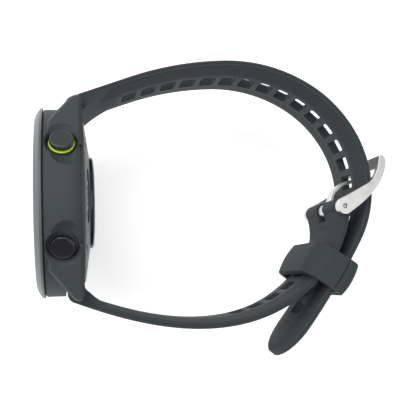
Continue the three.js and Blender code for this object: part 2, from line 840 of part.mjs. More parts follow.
function addButtons() {
  const clipFrom = cavityRadius - 1.5 * clipThickness + slack;
  const clipInner = buttonStemRadius - 2 * fitGap + slack;
  const switchTop = cavityRadius - 2 * clipThickness - buttonTravel - fitGap;
  for (const [name, degrees] of Object.entries(buttonAngles)) {
    const axis = outward(degrees);
    const finish = name === 'back' ? finishes.blackGloss : finishes.darkCap;
    addPiece(`${name}_button`, buttonSolid(axis), finish);
    const clipTo = clipFrom + clipThickness;
    const clip = ring(clipFrom, clipTo, clipInner, clipInner + clipWidth, tinySegments, buttonOrigin, axis);
    addPiece(`${name}_button_clip`, clip, finishes.steel);
    const geometry = new THREE.BoxGeometry(switchSize, switchSize, switchHeight);
    geometry.translate(buttonX, 0, switchTop - switchHeight / 2);
    geometry.rotateX(-radians(degrees));
    addPiece(`${name}_switch`, solidOf(geometry), finishes.diodeGrey);
  }
  const collarInner = buttonCapRadius - buttonShankInset + slack;
  const collarFrom = buttonSeat + slack;
  const collarTo = collarFrom + buttonShankHeight / 2;
  const collarOuter = buttonCapRadius + fitGap * 1.5;
  const axis = outward(buttonAngles.start);
  const collar = ring(collarFrom, collarTo, collarInner, collarOuter, smallSegments, buttonOrigin, axis);
  addPiece('start_button_ring', collar, finishes.limeAccent);
}

// A spring bar's hollow body, with a fixed tip at one end and a slot for the release knob.
function springBar(origin, knobAngle) {
  const end = halfStrap + sideGap / 2;
  const bore = pinRadius + runningGap;
  const boreFloor = halfStrap - pinLength - releaseTravel - fitGap;
  const fixedTip = lugInnerZ + barTipLength;
  const body = rod(-end, end, barRadius, tinySegments, origin, zAxis);
  const tip = rod(-fixedTip, -end + slack, barTipRadius, tinySegments, origin, zAxis);
  const hollow = rod(boreFloor, end + slack, bore, tinySegments, origin, zAxis);
  const slotLow = [0, -bore, knobZ - pinRadius - releaseTravel - fitGap];
  const slotHigh = [2 * barRadius, bore, knobZ + pinRadius + fitGap];
  return body.add(tip).subtract(hollow).subtract(block(slotLow, slotHigh, origin, knobAngle));
}

const knobZ = halfStrap - pinLength / 2;
const knobAngles = { upper: radians(-70), lower: radians(70) };

function releasePin(origin, knobAngle) {
  const tip = lugInnerZ + barTipLength;
  const inner = halfStrap - pinLength;
  const knobWay = new THREE.Vector3(Math.cos(knobAngle), Math.sin(knobAngle), 0);
  const knobOrigin = along(origin, [zAxis, knobZ]);
  const knob = rod(0, barRadius + knobLength, pinRadius, tinySegments, knobOrigin, knobWay);
  return rod(inner, tip, pinRadius, tinySegments, origin, zAxis).add(knob);
}

// The notch in a strap end that lets the release knob reach the skin side.
function knobNotch(origin, knobAngle) {
  const half = pinRadius + seamGap;
  const low = [0, -half * 2, knobZ - half - releaseTravel];
  const high = [knobNotchReach, half * 2, knobZ + half];
  return block(low, high, origin, knobAngle);
}

function addSpringBars() {
  for (const [name, side] of [['upper', 1], ['lower', -1]]) {
    const origin = barPlace(side);
    addPiece(`${name}_spring_bar`, springBar(origin, knobAngles[name]), finishes.steel);
    addPiece(`${name}_release_pin`, releasePin(origin, knobAngles[name]), finishes.steel);
  }
}

// A strap half's end rolls round its spring bar.
function strapEndOnBar(band, origin, knobAngle) {
  const roll = rod(-halfStrap, halfStrap, knuckleRadius, smallSegments, origin, zAxis);
  const tunnel = rod(-caseRadius, caseRadius, barRadius + runningGap, tinySegments, origin, zAxis);
  return band.add(roll).subtract(tunnel).subtract(knobNotch(origin, knobAngle));
}

// Rounds the free tip of the tail to half an ellipse.
function tipCut() {
  const { point, heading } = stationOn(tailPath, tailPath.span);
  const margin = sideGap;
  const outline = new THREE.Shape();
  outline.moveTo(margin, -halfStrap - margin);
  outline.lineTo(margin, halfStrap + margin);
  outline.absellipse(-tailTipLength, 0, tailTipLength, halfStrap + margin, Math.PI / 2, -Math.PI / 2, true);
  const depth = 4 * strapThickness;
  const options = { depth, bevelEnabled: false, curveSegments: ringSegments };
  const geometry = new THREE.ExtrudeGeometry(outline, options);
  geometry.rotateX(-Math.PI / 2);
  geometry.translate(0, -depth / 2, 0);
  geometry.rotateZ(heading);
  geometry.translate(point.x, point.y, point.z);
  return solidOf(geometry);
}

function addTailStrap() {
  let strap = strapEndOnBar(strapBand(tailPath, -1), barPlace(1), knobAngles.upper);
  for (let i = 0; i < tailSlotCount; i += 1) {
    strap = strap.subtract(slotCut(tailPath, tailFirstSlot + i * slotPitch));
  }
  addPiece('tail_strap', strap.subtract(tipCut()), finishes.strapSilicone);
}

function addBuckleStrap() {
  let strap = strapEndOnBar(strapBand(bucklePath, 1), barPlace(-1), knobAngles.lower);
  for (let i = 0; i < buckleStrapSlotCount; i += 1) {
    strap = strap.subtract(slotCut(bucklePath, buckleStrapFirstSlot + i * slotPitch));
  }
  const eye = rod(-halfStrap, halfStrap, knuckleRadius, smallSegments, pivot, zAxis);
  const tunnel = rod(-caseRadius, caseRadius, buckleBarRadius + runningGap, tinySegments, pivot, zAxis);
  const half = prongKnuckleWidth / 2 + sideGap;
  const reach = knuckleRadius + 2 * sideGap;
  const prongGap = block([-reach, -reach, -half], [reach, 2 * reach, half], pivot, buckleAngle);
  strap = strap.add(eye).subtract(tunnel).subtract(prongGap);
  addPiece('buckle_strap', strap, finishes.strapSilicone);
}

// The side outline of the buckle: a round eye, and an arm that curves up round the tail.
function buckleOutline() {
  const outline = new THREE.Shape();
  outline.moveTo(...buckleOuterKnee);
  outline.quadraticCurveTo(...buckleOuterBend, ...buckleOuterTip);
  outline.quadraticCurveTo(...buckleCrown, ...buckleInnerTip);
  outline.quadraticCurveTo(...buckleInnerBend, ...buckleInnerKnee);
  const eyeEnd = Math.atan2(buckleOuterKnee[1], buckleOuterKnee[0]) + 2 * Math.PI;
  outline.absarc(0, 0, buckleEndRadius, radians(buckleEyeTop), eyeEnd, false);
  return outline;
}

function addBuckle() {
  const outline = buckleOutline();
  const whole = slab(outline, -buckleOuterZ, buckleOuterZ, pivot, buckleAngle);
  const reach = caseRadius;
  const crown = buckleInnerTip[1] - buckleBarHeight;
  const between = block([-reach, -reach, -lugInnerZ], [reach, crown, lugInnerZ], pivot, buckleAngle);
  const hole = rod(-reach, reach, barTipRadius + runningGap, tinySegments, pivot, zAxis);
  addPiece('buckle_frame', whole.subtract(between).subtract(hole), finishes.steel);
  const shoulder = halfStrap + sideGap / 2;
  const tip = buckleOuterZ - sideGap;
  const bar = turned([
    [-tip, 0],
    [-tip, barTipRadius],
    [-shoulder, barTipRadius],
    [-shoulder, buckleBarRadius],
    [shoulder, buckleBarRadius],
    [shoulder, barTipRadius],
    [tip, barTipRadius],
    [tip, 0],
  ], tinySegments, pivot, zAxis);
  addPiece('buckle_bar', bar, finishes.steel);
}

// The prong leaves its knuckle, passes through the buckled slot and lies on the buckle's end.
function addProng() {
  const seat = prongSeatGap + prongThickness / 2;
  const slotX = pivotDepth - strapThickness / 2;
  const crownY = buckleInnerTip[1] - buckleBarHeight;
  const outerX = buckleOuterTip[0] + seat;
  const points = [
    prongRoot,
    prongElbow,
    [slotX - strapThickness, pivotDrop - prongLean],
    [slotX, pivotDrop],
    [outerX - prongBend - seat, crownY - seat - prongLean],
    [outerX, crownY + prongLean],
    [outerX + prongSeatGap, crownY + prongTipLength],
  ];
  const path = new THREE.CatmullRomCurve3(points.map(([x, y]) => new THREE.Vector3(x, y, 0)));
  const halfWidth = prongWidth / 2;
  const halfThick = prongThickness / 2;
  const section = polygon([
    [-halfWidth, -halfThick],
    [halfWidth, -halfThick],
    [halfWidth, halfThick],
    [-halfWidth, halfThick],
  ]);
  const options = { steps: 18, extrudePath: path, bevelEnabled: false };
  const geometry = new THREE.ExtrudeGeometry(section, options);
  geometry.rotateZ(buckleAngle);
  geometry.translate(pivot.x, pivot.y, pivot.z);
  const half = prongKnuckleWidth / 2;
  const knuckle = rod(-half, half, prongKnuckleRadius, smallSegments, pivot, zAxis);
  const hole = rod(-half - slack, half + slack, buckleBarRadius + runningGap, tinySegments, pivot, zAxis);
  addPiece('buckle_prong', solidOf(geometry).add(knuckle).subtract(hole), finishes.steel);
}

// A rectangle with round corners, between two X values and to the same Z either side.
function roundedFrame(shape, fromX, toX, halfZ, corner) {
  shape.absarc(toX - corner, halfZ - corner, corner, 0, Math.PI / 2, false);
  shape.absarc(fromX + corner, halfZ - corner, corner, Math.PI / 2, Math.PI, false);
  shape.absarc(fromX + corner, -halfZ + corner, corner, Math.PI, 1.5 * Math.PI, false);
  shape.absarc(toX - corner, -halfZ + corner, corner, 1.5 * Math.PI, 2 * Math.PI, false);
  return shape;
}

// The keeper is a band round both straps; its section lies square to the tail.
function addKeeper() {
  const holeOuter = keeperRoom;
  const holeInner = -(2 * strapThickness + strapOverlapGap + keeperInnerRoom);
  const halfHole = halfStrap + keeperRoom;
  const outline = roundedFrame(
    new THREE.Shape(),
    holeInner - keeperWall,
    holeOuter + keeperOuterWall,
    halfHole + keeperWall,
    keeperCorner,
  );
  const corner = keeperCorner / 4;
  outline.holes.push(roundedFrame(new THREE.Path(), holeInner, holeOuter, halfHole, corner));
  const geometry = new THREE.ExtrudeGeometry(outline, {
    depth: keeperLength,
    bevelEnabled: false,
    curveSegments: 4,
  });
  geometry.rotateX(-Math.PI / 2);
  geometry.translate(0, -keeperLength / 2, 0);
  geometry.rotateZ(keeperStation.heading + Math.PI / 2);
  const { point } = keeperStation;
  geometry.translate(point.x, point.y, point.z);
  addPiece('strap_keeper', solidOf(geometry), finishes.strapSilicone);
}

addCaseBody();
addBezelAndDisplay();
addElectronics();
addBackCover();
addSensor();
addButtons();
addSpringBars();
addTailStrap();
addBuckleStrap();
addBuckle();
addProng();
addKeeper();

export default watch;
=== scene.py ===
"""The looks of a satellite running watch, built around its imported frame.

The watch lies on its nine o'clock side with its strap buckled into a loop. The origin is the
middle of the sensor window: +X points out of the case back to the wrist, +Y to twelve o'clock
and +Z to three o'clock. Pieces are modelled in millimetres and are brought to metres when done.
"""

import json
import logging
import math
from collections.abc import Callable, Iterator, Sequence
from contextlib import contextmanager
from dataclasses import dataclass, field
from enum import Enum

import bmesh
import bpy
import numpy as np
from mathutils import Matrix, Vector

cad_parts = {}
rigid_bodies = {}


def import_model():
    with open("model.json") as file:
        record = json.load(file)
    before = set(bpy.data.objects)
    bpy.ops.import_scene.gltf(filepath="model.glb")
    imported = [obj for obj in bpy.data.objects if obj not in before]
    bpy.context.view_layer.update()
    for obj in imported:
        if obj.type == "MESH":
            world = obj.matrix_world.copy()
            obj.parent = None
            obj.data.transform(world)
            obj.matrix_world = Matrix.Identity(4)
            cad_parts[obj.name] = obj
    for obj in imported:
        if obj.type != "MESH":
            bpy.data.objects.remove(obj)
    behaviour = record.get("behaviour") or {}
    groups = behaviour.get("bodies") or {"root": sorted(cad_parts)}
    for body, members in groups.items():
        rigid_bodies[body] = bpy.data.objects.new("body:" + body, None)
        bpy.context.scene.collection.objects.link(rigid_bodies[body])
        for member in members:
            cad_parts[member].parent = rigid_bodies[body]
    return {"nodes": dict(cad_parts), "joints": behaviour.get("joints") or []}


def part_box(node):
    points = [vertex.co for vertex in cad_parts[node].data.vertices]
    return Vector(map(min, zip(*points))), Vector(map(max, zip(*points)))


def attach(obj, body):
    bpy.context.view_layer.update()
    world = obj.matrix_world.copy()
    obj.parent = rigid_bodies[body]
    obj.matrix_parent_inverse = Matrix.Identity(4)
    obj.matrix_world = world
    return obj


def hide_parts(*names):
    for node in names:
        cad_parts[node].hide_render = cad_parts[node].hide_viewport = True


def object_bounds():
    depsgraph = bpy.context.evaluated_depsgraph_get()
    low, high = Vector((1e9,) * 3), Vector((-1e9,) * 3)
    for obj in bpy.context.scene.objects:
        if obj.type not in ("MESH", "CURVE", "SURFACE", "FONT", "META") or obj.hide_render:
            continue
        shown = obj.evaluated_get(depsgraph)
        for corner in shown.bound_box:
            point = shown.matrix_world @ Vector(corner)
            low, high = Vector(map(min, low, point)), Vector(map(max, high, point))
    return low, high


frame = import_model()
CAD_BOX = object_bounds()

LOG = logging.getLogger("running_watch")
MM = 0.001
HAIR = 0.002
X_AXIS = Vector((1, 0, 0))
Z_AXIS = Vector((0, 0, 1))

Profile = Sequence[tuple[float, float]]
Point = tuple[float, float, float]
Colour = tuple[float, float, float]


class Part(Enum):
    """What an edit-mode selection picks."""

    VERTEX = "VERT"
    EDGE = "EDGE"
    FACE = "FACE"


class Pattern(Enum):
    """What a finish shows besides its grain."""

    PLAIN = "plain"
    BRUSHED = "brushed"
    TRACES = "traces"
    FOIL = "foil"


@dataclass(frozen=True)
class Finish:
    """A procedural finish: mottled colour, fine grain in relief and uneven gloss.

    Args:
        name: The material's name.
        colour: Its main colour, linear.
        shade: The colour that mottles it.
        roughness: The middle of its roughness.
        spread: How far the roughness strays from the middle.
        metallic: How metallic it is.
        grain: Grains to the metre.
        relief: The grain's height in metres.
        strength: How strongly the grain turns the surface.
        mottle: Mottles to the metre.
        edge_lightening: How much lighter its edges are.
        coat: The weight of a clear coat.
        sheen: The weight of its sheen.
        specular: The level of its plain reflection.
        glow: The strength of light that it gives off.
        pattern: What it shows besides its grain.
    """

    name: str
    colour: Colour
    shade: Colour
    roughness: float = 0.5
    spread: float = 0.06
    metallic: float = 0.0
    grain: float = 9000.0
    relief: float = 0.00002
    strength: float = 0.25
    mottle: float = 260.0
    edge_lightening: float = 0.0
    coat: float = 0.0
    sheen: float = 0.0
    specular: float = 0.4
    glow: float = 0.0
    pattern: Pattern = Pattern.PLAIN

    def material(self) -> bpy.types.Material:
        """Returns this finish's material, made the first time that it is asked for."""
        found = bpy.data.materials.get(self.name)
        return found if found else self._make()

    def _make(self) -> bpy.types.Material:
        """Builds the node tree.

        Returns:
            The new material.
        """
        material = bpy.data.materials.new(self.name)
        material.use_nodes = True
        tree = material.node_tree
        shader = tree.nodes["Principled BSDF"]
        place = tree.nodes.new("ShaderNodeTexCoord").outputs["Object"]
        colour = self._colour(tree, place)
        tree.links.new(colour, shader.inputs["Base Color"])
        grain = self._noise(tree, self._stretched(tree, place), self.grain, 3.0)
        self._gloss(tree, place, shader)
        bump = tree.nodes.new("ShaderNodeBump")
        bump.inputs["Strength"].default_value = self.strength
        bump.inputs["Distance"].default_value = self.relief
        tree.links.new(grain, bump.inputs["Height"])
        tree.links.new(bump.outputs["Normal"], shader.inputs["Normal"])
        shader.inputs["Metallic"].default_value = self.metallic
        shader.inputs["Coat Weight"].default_value = self.coat
        shader.inputs["Sheen Weight"].default_value = self.sheen
        shader.inputs["Specular IOR Level"].default_value = self.specular
        if self.glow > 0:
            shader.inputs["Emission Color"].default_value = (*self.colour, 1)
            shader.inputs["Emission Strength"].default_value = self.glow
        return material

    def _noise(
        self,
        tree: bpy.types.NodeTree,
        place: bpy.types.NodeSocket,
        scale: float,
        detail: float,
    ) -> bpy.types.NodeSocket:
        """Adds a noise texture.

        Args:
            tree: The material's nodes.
            place: The coordinates that it reads.
            scale: Its scale, to the metre.
            detail: Its detail.

        Returns:
            Its value.
        """
        noise = tree.nodes.new("ShaderNodeTexNoise")
        noise.inputs["Scale"].default_value = scale
        noise.inputs["Detail"].default_value = detail
        tree.links.new(place, noise.inputs["Vector"])
        return noise.outputs["Fac"]

    def _stretched(
        self, tree: bpy.types.NodeTree, place: bpy.types.NodeSocket
    ) -> bpy.types.NodeSocket:
        """Stretches the grain into brush strokes where the finish is brushed.

        Args:
            tree: The material's nodes.
            place: The plain coordinates.

        Returns:
            The coordinates for the grain.
        """
        if self.pattern is not Pattern.BRUSHED:
            return place
        mapping = tree.nodes.new("ShaderNodeMapping")
        mapping.inputs["Scale"].default_value = (0.06, 0.06, 1.0)
        tree.links.new(place, mapping.inputs["Vector"])
        return mapping.outputs["Vector"]

    def _colour(
        self, tree: bpy.types.NodeTree, place: bpy.types.NodeSocket
    ) -> bpy.types.NodeSocket:
        """Mixes the main colour, the mottling, the pattern and the lighter edges.

        Args:
            tree: The material's nodes.
            place: The object coordinates.

        Returns:
            The mixed colour.
        """
        mottle = self._noise(tree, place, self.mottle, 5.0)
        mixed = self._mix(tree, mottle, self.colour, self.shade, 0.35, 0.65)
        if self.pattern is Pattern.TRACES:
            mixed = self._traces(tree, place, mixed)
        if self.pattern is Pattern.FOIL:
            crumple = self._noise(tree, place, self.mottle * 4, 6.0)
            mixed = self._over(tree, crumple, mixed, self._lighter(1.6), 0.5, 0.62)
        # The edges are made lighter where the surface's Pointiness is high, at sharp convex edges.
        if self.edge_lightening > 0:
            edge = tree.nodes.new("ShaderNodeNewGeometry").outputs["Pointiness"]
            mixed = self._over(tree, edge, mixed, self._lighter(1 + self.edge_lightening), 0.52, 0.62)
        return mixed

    def _lighter(self, factor: float) -> Colour:
        """Returns the main colour made lighter."""
        red, green, blue = (min(1.0, channel * factor) for channel in self.colour)
        return (red, green, blue)

    def _traces(
        self,
        tree: bpy.types.NodeTree,
        place: bpy.types.NodeSocket,
        under: bpy.types.NodeSocket,
    ) -> bpy.types.NodeSocket:
        """Lays the copper tracks of a circuit board over a colour.

        Args:
            tree: The material's nodes.
            place: The object coordinates.
            under: The colour beneath.

        Returns:
            The colour with its tracks.
        """
        cells = tree.nodes.new("ShaderNodeTexVoronoi")
        cells.distance = "MANHATTAN"
        cells.feature = "F2"
        cells.inputs["Scale"].default_value = 700
        tree.links.new(place, cells.inputs["Vector"])
        return self._over(tree, cells.outputs["Distance"], under, self._lighter(2.6), 0.9, 0.98)

    def _ramp(
        self, tree: bpy.types.NodeTree, value: bpy.types.NodeSocket, low: float, high: float
    ) -> bpy.types.NodeSocket:
        """Spreads a value so that low becomes 0 and high becomes 1."""
        ramp = tree.nodes.new("ShaderNodeMapRange")
        ramp.inputs["From Min"].default_value = low
        ramp.inputs["From Max"].default_value = high
        tree.links.new(value, ramp.inputs["Value"])
        return ramp.outputs["Result"]

    def _mix(
        self,
        tree: bpy.types.NodeTree,
        value: bpy.types.NodeSocket,
        first: Colour,
        second: Colour,
        low: float,
        high: float,
    ) -> bpy.types.NodeSocket:
        """Mixes two set colours by a value.

        Args:
            tree: The material's nodes.
            value: What decides the mix.
            first: The colour at low.
            second: The colour at high.
            low: The value that gives the first colour.
            high: The value that gives the second.

        Returns:
            The mixed colour.
        """
        mix = tree.nodes.new("ShaderNodeMix")
        mix.data_type = "RGBA"
        mix.inputs[6].default_value = (*first, 1)
        mix.inputs[7].default_value = (*second, 1)
        tree.links.new(self._ramp(tree, value, low, high), mix.inputs[0])
        return mix.outputs[2]

    def _over(
        self,
        tree: bpy.types.NodeTree,
        value: bpy.types.NodeSocket,
        under: bpy.types.NodeSocket,
        colour: Colour,
        low: float,
        high: float,
    ) -> bpy.types.NodeSocket:
        """Lays a set colour over another by a value.

        Args:
            tree: The material's nodes.
            value: What decides how much of it shows.
            under: The colour beneath.
            colour: The colour on top.
            low: The value where it starts to show.
            high: The value where it covers.

        Returns:
            The mixed colour.
        """
        mix = tree.nodes.new("ShaderNodeMix")
        mix.data_type = "RGBA"
        mix.inputs[7].default_value = (*colour, 1)
        tree.links.new(under, mix.inputs[6])
        tree.links.new(self._ramp(tree, value, low, high), mix.inputs[0])
        return mix.outputs[2]

    def _gloss(
        self,
        tree: bpy.types.NodeTree,
        place: bpy.types.NodeSocket,
        shader: bpy.types.Node,
    ) -> None:
        """Lets the roughness stray about its middle.

        Args:
            tree: The material's nodes.
            place: The object coordinates.
            shader: The shader that it feeds.
        """
        patches = self._noise(tree, place, self.mottle * 2.5, 4.0)
        spread = tree.nodes.new("ShaderNodeMapRange")
        spread.inputs["From Min"].default_value = 0.3
        spread.inputs["From Max"].default_value = 0.7
        spread.inputs["To Min"].default_value = max(0.02, self.roughness - self.spread)
        spread.inputs["To Max"].default_value = self.roughness + self.spread
        tree.links.new(patches, spread.inputs["Value"])
        tree.links.new(spread.outputs["Result"], shader.inputs["Roughness"])


CASE_RESIN = Finish(
    "case_resin",
    (0.013, 0.018, 0.0205),
    (0.018, 0.024, 0.027),
    roughness=0.5,
    grain=7000,
    relief=0.00004,
    edge_lightening=0.5,
)
COVER_RESIN = Finish(
    "cover_resin",
    (0.045, 0.052, 0.056),
    (0.055, 0.062, 0.066),
    roughness=0.42,
    grain=7000,
    relief=0.00003,
    edge_lightening=0.4,
)
BEZEL_RESIN = Finish(
    "bezel_resin",
    (0.014, 0.0185, 0.0205),
    (0.018, 0.0235, 0.026),
    roughness=0.4,
    spread=0.04,
    grain=9000,
    edge_lightening=0.5,
    specular=0.25,
)
SILICONE = Finish(
    "strap_silicone",
    (0.014, 0.02, 0.0225),
    (0.019, 0.026, 0.029),
    roughness=0.52,
    spread=0.08,
    grain=5200,
    relief=0.00005,
    strength=0.3,
    mottle=180,
    edge_lightening=0.5,
    sheen=0.15,
)
# Partly painted light: the strap's wrist-side crown gets this much lighter colour to stand for the
# light that falls on it. The rougher, grainier surface is its real frosted texture.
FROSTED_AND_LIT = Finish(
    "frosted_lit_silicone",
    (0.04, 0.046, 0.05),
    (0.05, 0.056, 0.06),
    roughness=0.72,
    spread=0.04,
    grain=4200,
    relief=0.00006,
    strength=0.3,
    mottle=180,
)
DISPLAY_GLASS = Finish(
    "display_glass",
    (0.004, 0.005, 0.006),
    (0.006, 0.007, 0.008),
    roughness=0.06,
    spread=0.03,
    grain=900,
    relief=0.000004,
    strength=0.05,
    coat=1.0,
)
SENSOR_GLASS = Finish(
    "sensor_glass",
    (0.005, 0.006, 0.007),
    (0.008, 0.009, 0.01),
    roughness=0.08,
    spread=0.04,
    grain=1200,
    relief=0.000004,
    strength=0.05,
    coat=1.0,
)
DARK_CAP = Finish(
    "button_dark",
    (0.006, 0.008, 0.0095),
    (0.0085, 0.011, 0.0125),
    roughness=0.5,
    specular=0.3,
    grain=11000,
    relief=0.00002,
    edge_lightening=1.4,
)
GLOSS_CAP = Finish(
    "button_gloss",
    (0.0015, 0.002, 0.0035),
    (0.002, 0.003, 0.007),
    roughness=0.06,
    spread=0.03,
    grain=1500,
    relief=0.000003,
    strength=0.05,
    specular=0.25,
    coat=0.2,
)
LIME = Finish(
    "lime_accent",
    (0.62, 0.83, 0.03),
    (0.58, 0.78, 0.025),
    roughness=0.35,
    grain=8000,
    strength=0.1,
    # Painted glow: the lime ring gives off light of its own, though it is no lamp.
    glow=0.4,
)
SATIN_STEEL = Finish(
    "satin_steel",
    (0.78, 0.78, 0.76),
    (0.7, 0.7, 0.69),
    roughness=0.34,
    spread=0.06,
    metallic=1.0,
    grain=16000,
    relief=0.00001,
    strength=0.2,
    mottle=500,
)
BRUSHED_STEEL = Finish(
    "brushed_steel",
    (0.6, 0.6, 0.6),
    (0.5, 0.51, 0.52),
    roughness=0.3,
    metallic=1.0,
    grain=16000,
    relief=0.00001,
    pattern=Pattern.BRUSHED,
)
RIM_STEEL = Finish(
    "sensor_rim_steel",
    (0.035, 0.039, 0.042),
    (0.028, 0.031, 0.034),
    roughness=0.22,
    metallic=0.6,
    grain=14000,
    relief=0.000008,
    pattern=Pattern.BRUSHED,
)
PLATED = Finish(
    "contact_metal",
    (0.8, 0.78, 0.72),
    (0.7, 0.67, 0.6),
    roughness=0.2,
    metallic=1.0,
    grain=12000,
    relief=0.000005,
)
GASKET = Finish("gasket", (0.012, 0.013, 0.014), (0.018, 0.019, 0.02), roughness=0.8)
BOARD = Finish(
    "board",
    (0.007, 0.08, 0.03),
    (0.006, 0.065, 0.026),
    roughness=0.4,
    pattern=Pattern.TRACES,
)
CELL_FOIL = Finish(
    "cell",
    (0.27, 0.31, 0.33),
    (0.22, 0.25, 0.27),
    roughness=0.35,
    metallic=0.7,
    grain=2500,
    relief=0.00006,
    pattern=Pattern.FOIL,
)
COPPER = Finish(
    "copper",
    (0.48, 0.17, 0.05),
    (0.4, 0.14, 0.05),
    roughness=0.35,
    metallic=1.0,
    pattern=Pattern.BRUSHED,
)
BRASS = Finish(
    "brass",
    (0.55, 0.38, 0.12),
    (0.47, 0.32, 0.1),
    roughness=0.35,
    metallic=1.0,
    pattern=Pattern.BRUSHED,
)
EMITTER = Finish("emitter", (0.12, 0.7, 0.15), (0.2, 0.8, 0.22), roughness=0.15, coat=1.0)
DIODE = Finish("diode", (0.05, 0.06, 0.08), (0.06, 0.07, 0.1), roughness=0.2, coat=0.6)

CARRIED_OVER = {
    BOARD: ("main_board", "sensor_board"),
    CELL_FOIL: ("battery",),
    COPPER: ("gps_antenna",),
    BRASS: ("motor_weight", "beeper_disc"),
    GASKET: ("display_gasket", "back_gasket"),
    EMITTER: ("green_led_upper", "green_led_lower"),
    DIODE: (
        "photodiode_right",
        "photodiode_left",
        "start_switch",
        "back_switch",
        "light_switch",
        "up_switch",
        "down_switch",
    ),
    DARK_CAP: ("inner_frame",),
    DISPLAY_GLASS: ("display_panel",),
    BRUSHED_STEEL: (
        "vibration_motor",
        "start_button_clip",
        "back_button_clip",
        "light_button_clip",
        "up_button_clip",
        "down_button_clip",
    ),
    SATIN_STEEL: (
        "upper_spring_bar",
        "lower_spring_bar",
        "upper_release_pin",
        "lower_release_pin",
    ),
}


def single_out(piece: bpy.types.Object) -> None:
    """Deselects everything else and makes one piece active."""
    for other in bpy.context.view_layer.objects:
        other.select_set(False)
    piece.select_set(True)
    bpy.context.view_layer.objects.active = piece


def clear_selection() -> None:
    """Deselects everything."""
    for other in bpy.context.view_layer.objects:
        other.select_set(False)


@contextmanager
def editing(piece: bpy.types.Object) -> Iterator[None]:
    """Holds a piece in edit mode with all of it selected."""
    single_out(piece)
    bpy.ops.object.mode_set(mode="EDIT")
    bpy.ops.mesh.select_mode(type=Part.VERTEX.value)
    bpy.ops.mesh.select_all(action="SELECT")
    yield
    bpy.ops.object.mode_set(mode="OBJECT")


def pick(part: Part, test: Callable[[Vector, Vector], bool]) -> None:
    """Selects what passes a test, in edit mode.

    Args:
        part: Whether vertices, edges or faces are tested.
        test: Takes the middle and the normal of a face, the middle and the run of an edge,
            or the place and the normal of a vertex.
    """
    bpy.ops.mesh.select_mode(type=part.value)
    bpy.ops.mesh.select_all(action="DESELECT")
    mesh = bpy.context.object.data
    work = bmesh.from_edit_mesh(mesh)
    if part is Part.FACE:
        for face in work.faces:
            face.select_set(test(face.calc_center_median(), face.normal))
    elif part is Part.EDGE:
        for edge in work.edges:
            start, end = (corner.co for corner in edge.verts)
            edge.select_set(test((start + end) / 2, end - start))
    else:
        for corner in work.verts:
            corner.select_set(test(corner.co, corner.normal))
    work.select_flush_mode()
    bmesh.update_edit_mesh(mesh)


def fix_place(piece: bpy.types.Object) -> None:
    """Applies a piece's place, turn and scale to its mesh."""
    single_out(piece)
    bpy.ops.object.transform_apply(location=True, rotation=True, scale=True)


def add_block(low: Point, high: Point) -> bpy.types.Object:
    """Adds a block between two opposite corners, in millimetres."""
    clear_selection()
    middle = [(a + b) / 2 for a, b in zip(low, high)]
    size = [b - a for a, b in zip(low, high)]
    bpy.ops.mesh.primitive_cube_add(size=1, location=middle, scale=size)
    piece = bpy.context.object
    fix_place(piece)
    return piece


def turn_on_lathe(profile: Profile, segments: int = 96, hollow: bool = False) -> bpy.types.Object:
    """Turns a piece about the X axis from a circle, ring by ring.

    Args:
        profile: Places along X and radii, in millimetres.
        segments: How many sides the piece has.
        hollow: Whether the last ring joins the first, which leaves the middle open.

    Returns:
        The turned piece.
    """
    clear_selection()
    start, radius = profile[0]
    bpy.ops.mesh.primitive_circle_add(
        vertices=segments,
        radius=radius,
        fill_type="NOTHING" if hollow else "NGON",
        location=(start, 0, 0),
        rotation=(0, math.pi / 2, 0),
    )
    piece = bpy.context.object
    fix_place(piece)
    rings = [*profile, profile[0]] if hollow else profile
    with editing(piece):
        for (was_at, was_wide), (now_at, now_wide) in zip(rings, rings[1:]):
            bpy.ops.mesh.extrude_region_move(
                TRANSFORM_OT_translate={"value": (now_at - was_at, 0, 0)}
            )
            share = now_wide / was_wide
            bpy.ops.transform.resize(value=(1, share, share), center_override=(now_at, 0, 0))
        bpy.ops.mesh.select_all(action="SELECT")
        bpy.ops.mesh.remove_doubles(threshold=HAIR)
        bpy.ops.mesh.normals_make_consistent(inside=False)
    return piece


def cut_plate(outline: Sequence[tuple[float, float]], low: float, high: float) -> bpy.types.Object:
    """Makes a plate with an outline in X and Y between two heights, in millimetres."""
    clear_selection()
    bpy.ops.mesh.primitive_circle_add(vertices=len(outline), radius=1, fill_type="NGON")
    piece = bpy.context.object
    for corner, (x, y) in zip(piece.data.vertices, outline):
        corner.co = (x, y, low)
    with editing(piece):
        bpy.ops.mesh.extrude_region_move(TRANSFORM_OT_translate={"value": (0, 0, high - low)})
        bpy.ops.mesh.select_all(action="SELECT")
        bpy.ops.mesh.normals_make_consistent(inside=False)
    return piece


def apply_modifier(piece: bpy.types.Object, kind: str, **settings: object) -> None:
    """Adds a modifier with its settings and applies it."""
    single_out(piece)
    modifier = piece.modifiers.new(kind.lower(), kind)
    for name, value in settings.items():
        setattr(modifier, name, value)
    bpy.ops.object.modifier_apply(modifier=modifier.name)


def carve(piece: bpy.types.Object, tool: bpy.types.Object, operation: str = "DIFFERENCE") -> None:
    """Cuts a tool out of a piece, or joins it on, and throws the tool away."""
    apply_modifier(piece, "BOOLEAN", object=tool, operation=operation, solver="MANIFOLD")
    bpy.data.objects.remove(tool)


def soften(piece: bpy.types.Object, width: float, segments: int = 3, angle: float = 35.0) -> None:
    """Rounds the edges that are sharper than an angle."""
    apply_modifier(
        piece,
        "BEVEL",
        width=width,
        segments=segments,
        limit_method="ANGLE",
        angle_limit=math.radians(angle),
        miter_outer="MITER_ARC",
    )


def smooth(piece: bpy.types.Object, angle: float = 35.0) -> None:
    """Shades a piece smooth, with its large faces kept flat."""
    single_out(piece)
    bpy.ops.object.shade_smooth_by_angle(angle=math.radians(angle))
    apply_modifier(piece, "WEIGHTED_NORMAL", keep_sharp=True, weight=60)


def move_by(piece: bpy.types.Object, matrix: Matrix) -> None:
    """Turns and moves a piece, and applies it."""
    piece.matrix_world = matrix @ piece.matrix_world
    fix_place(piece)


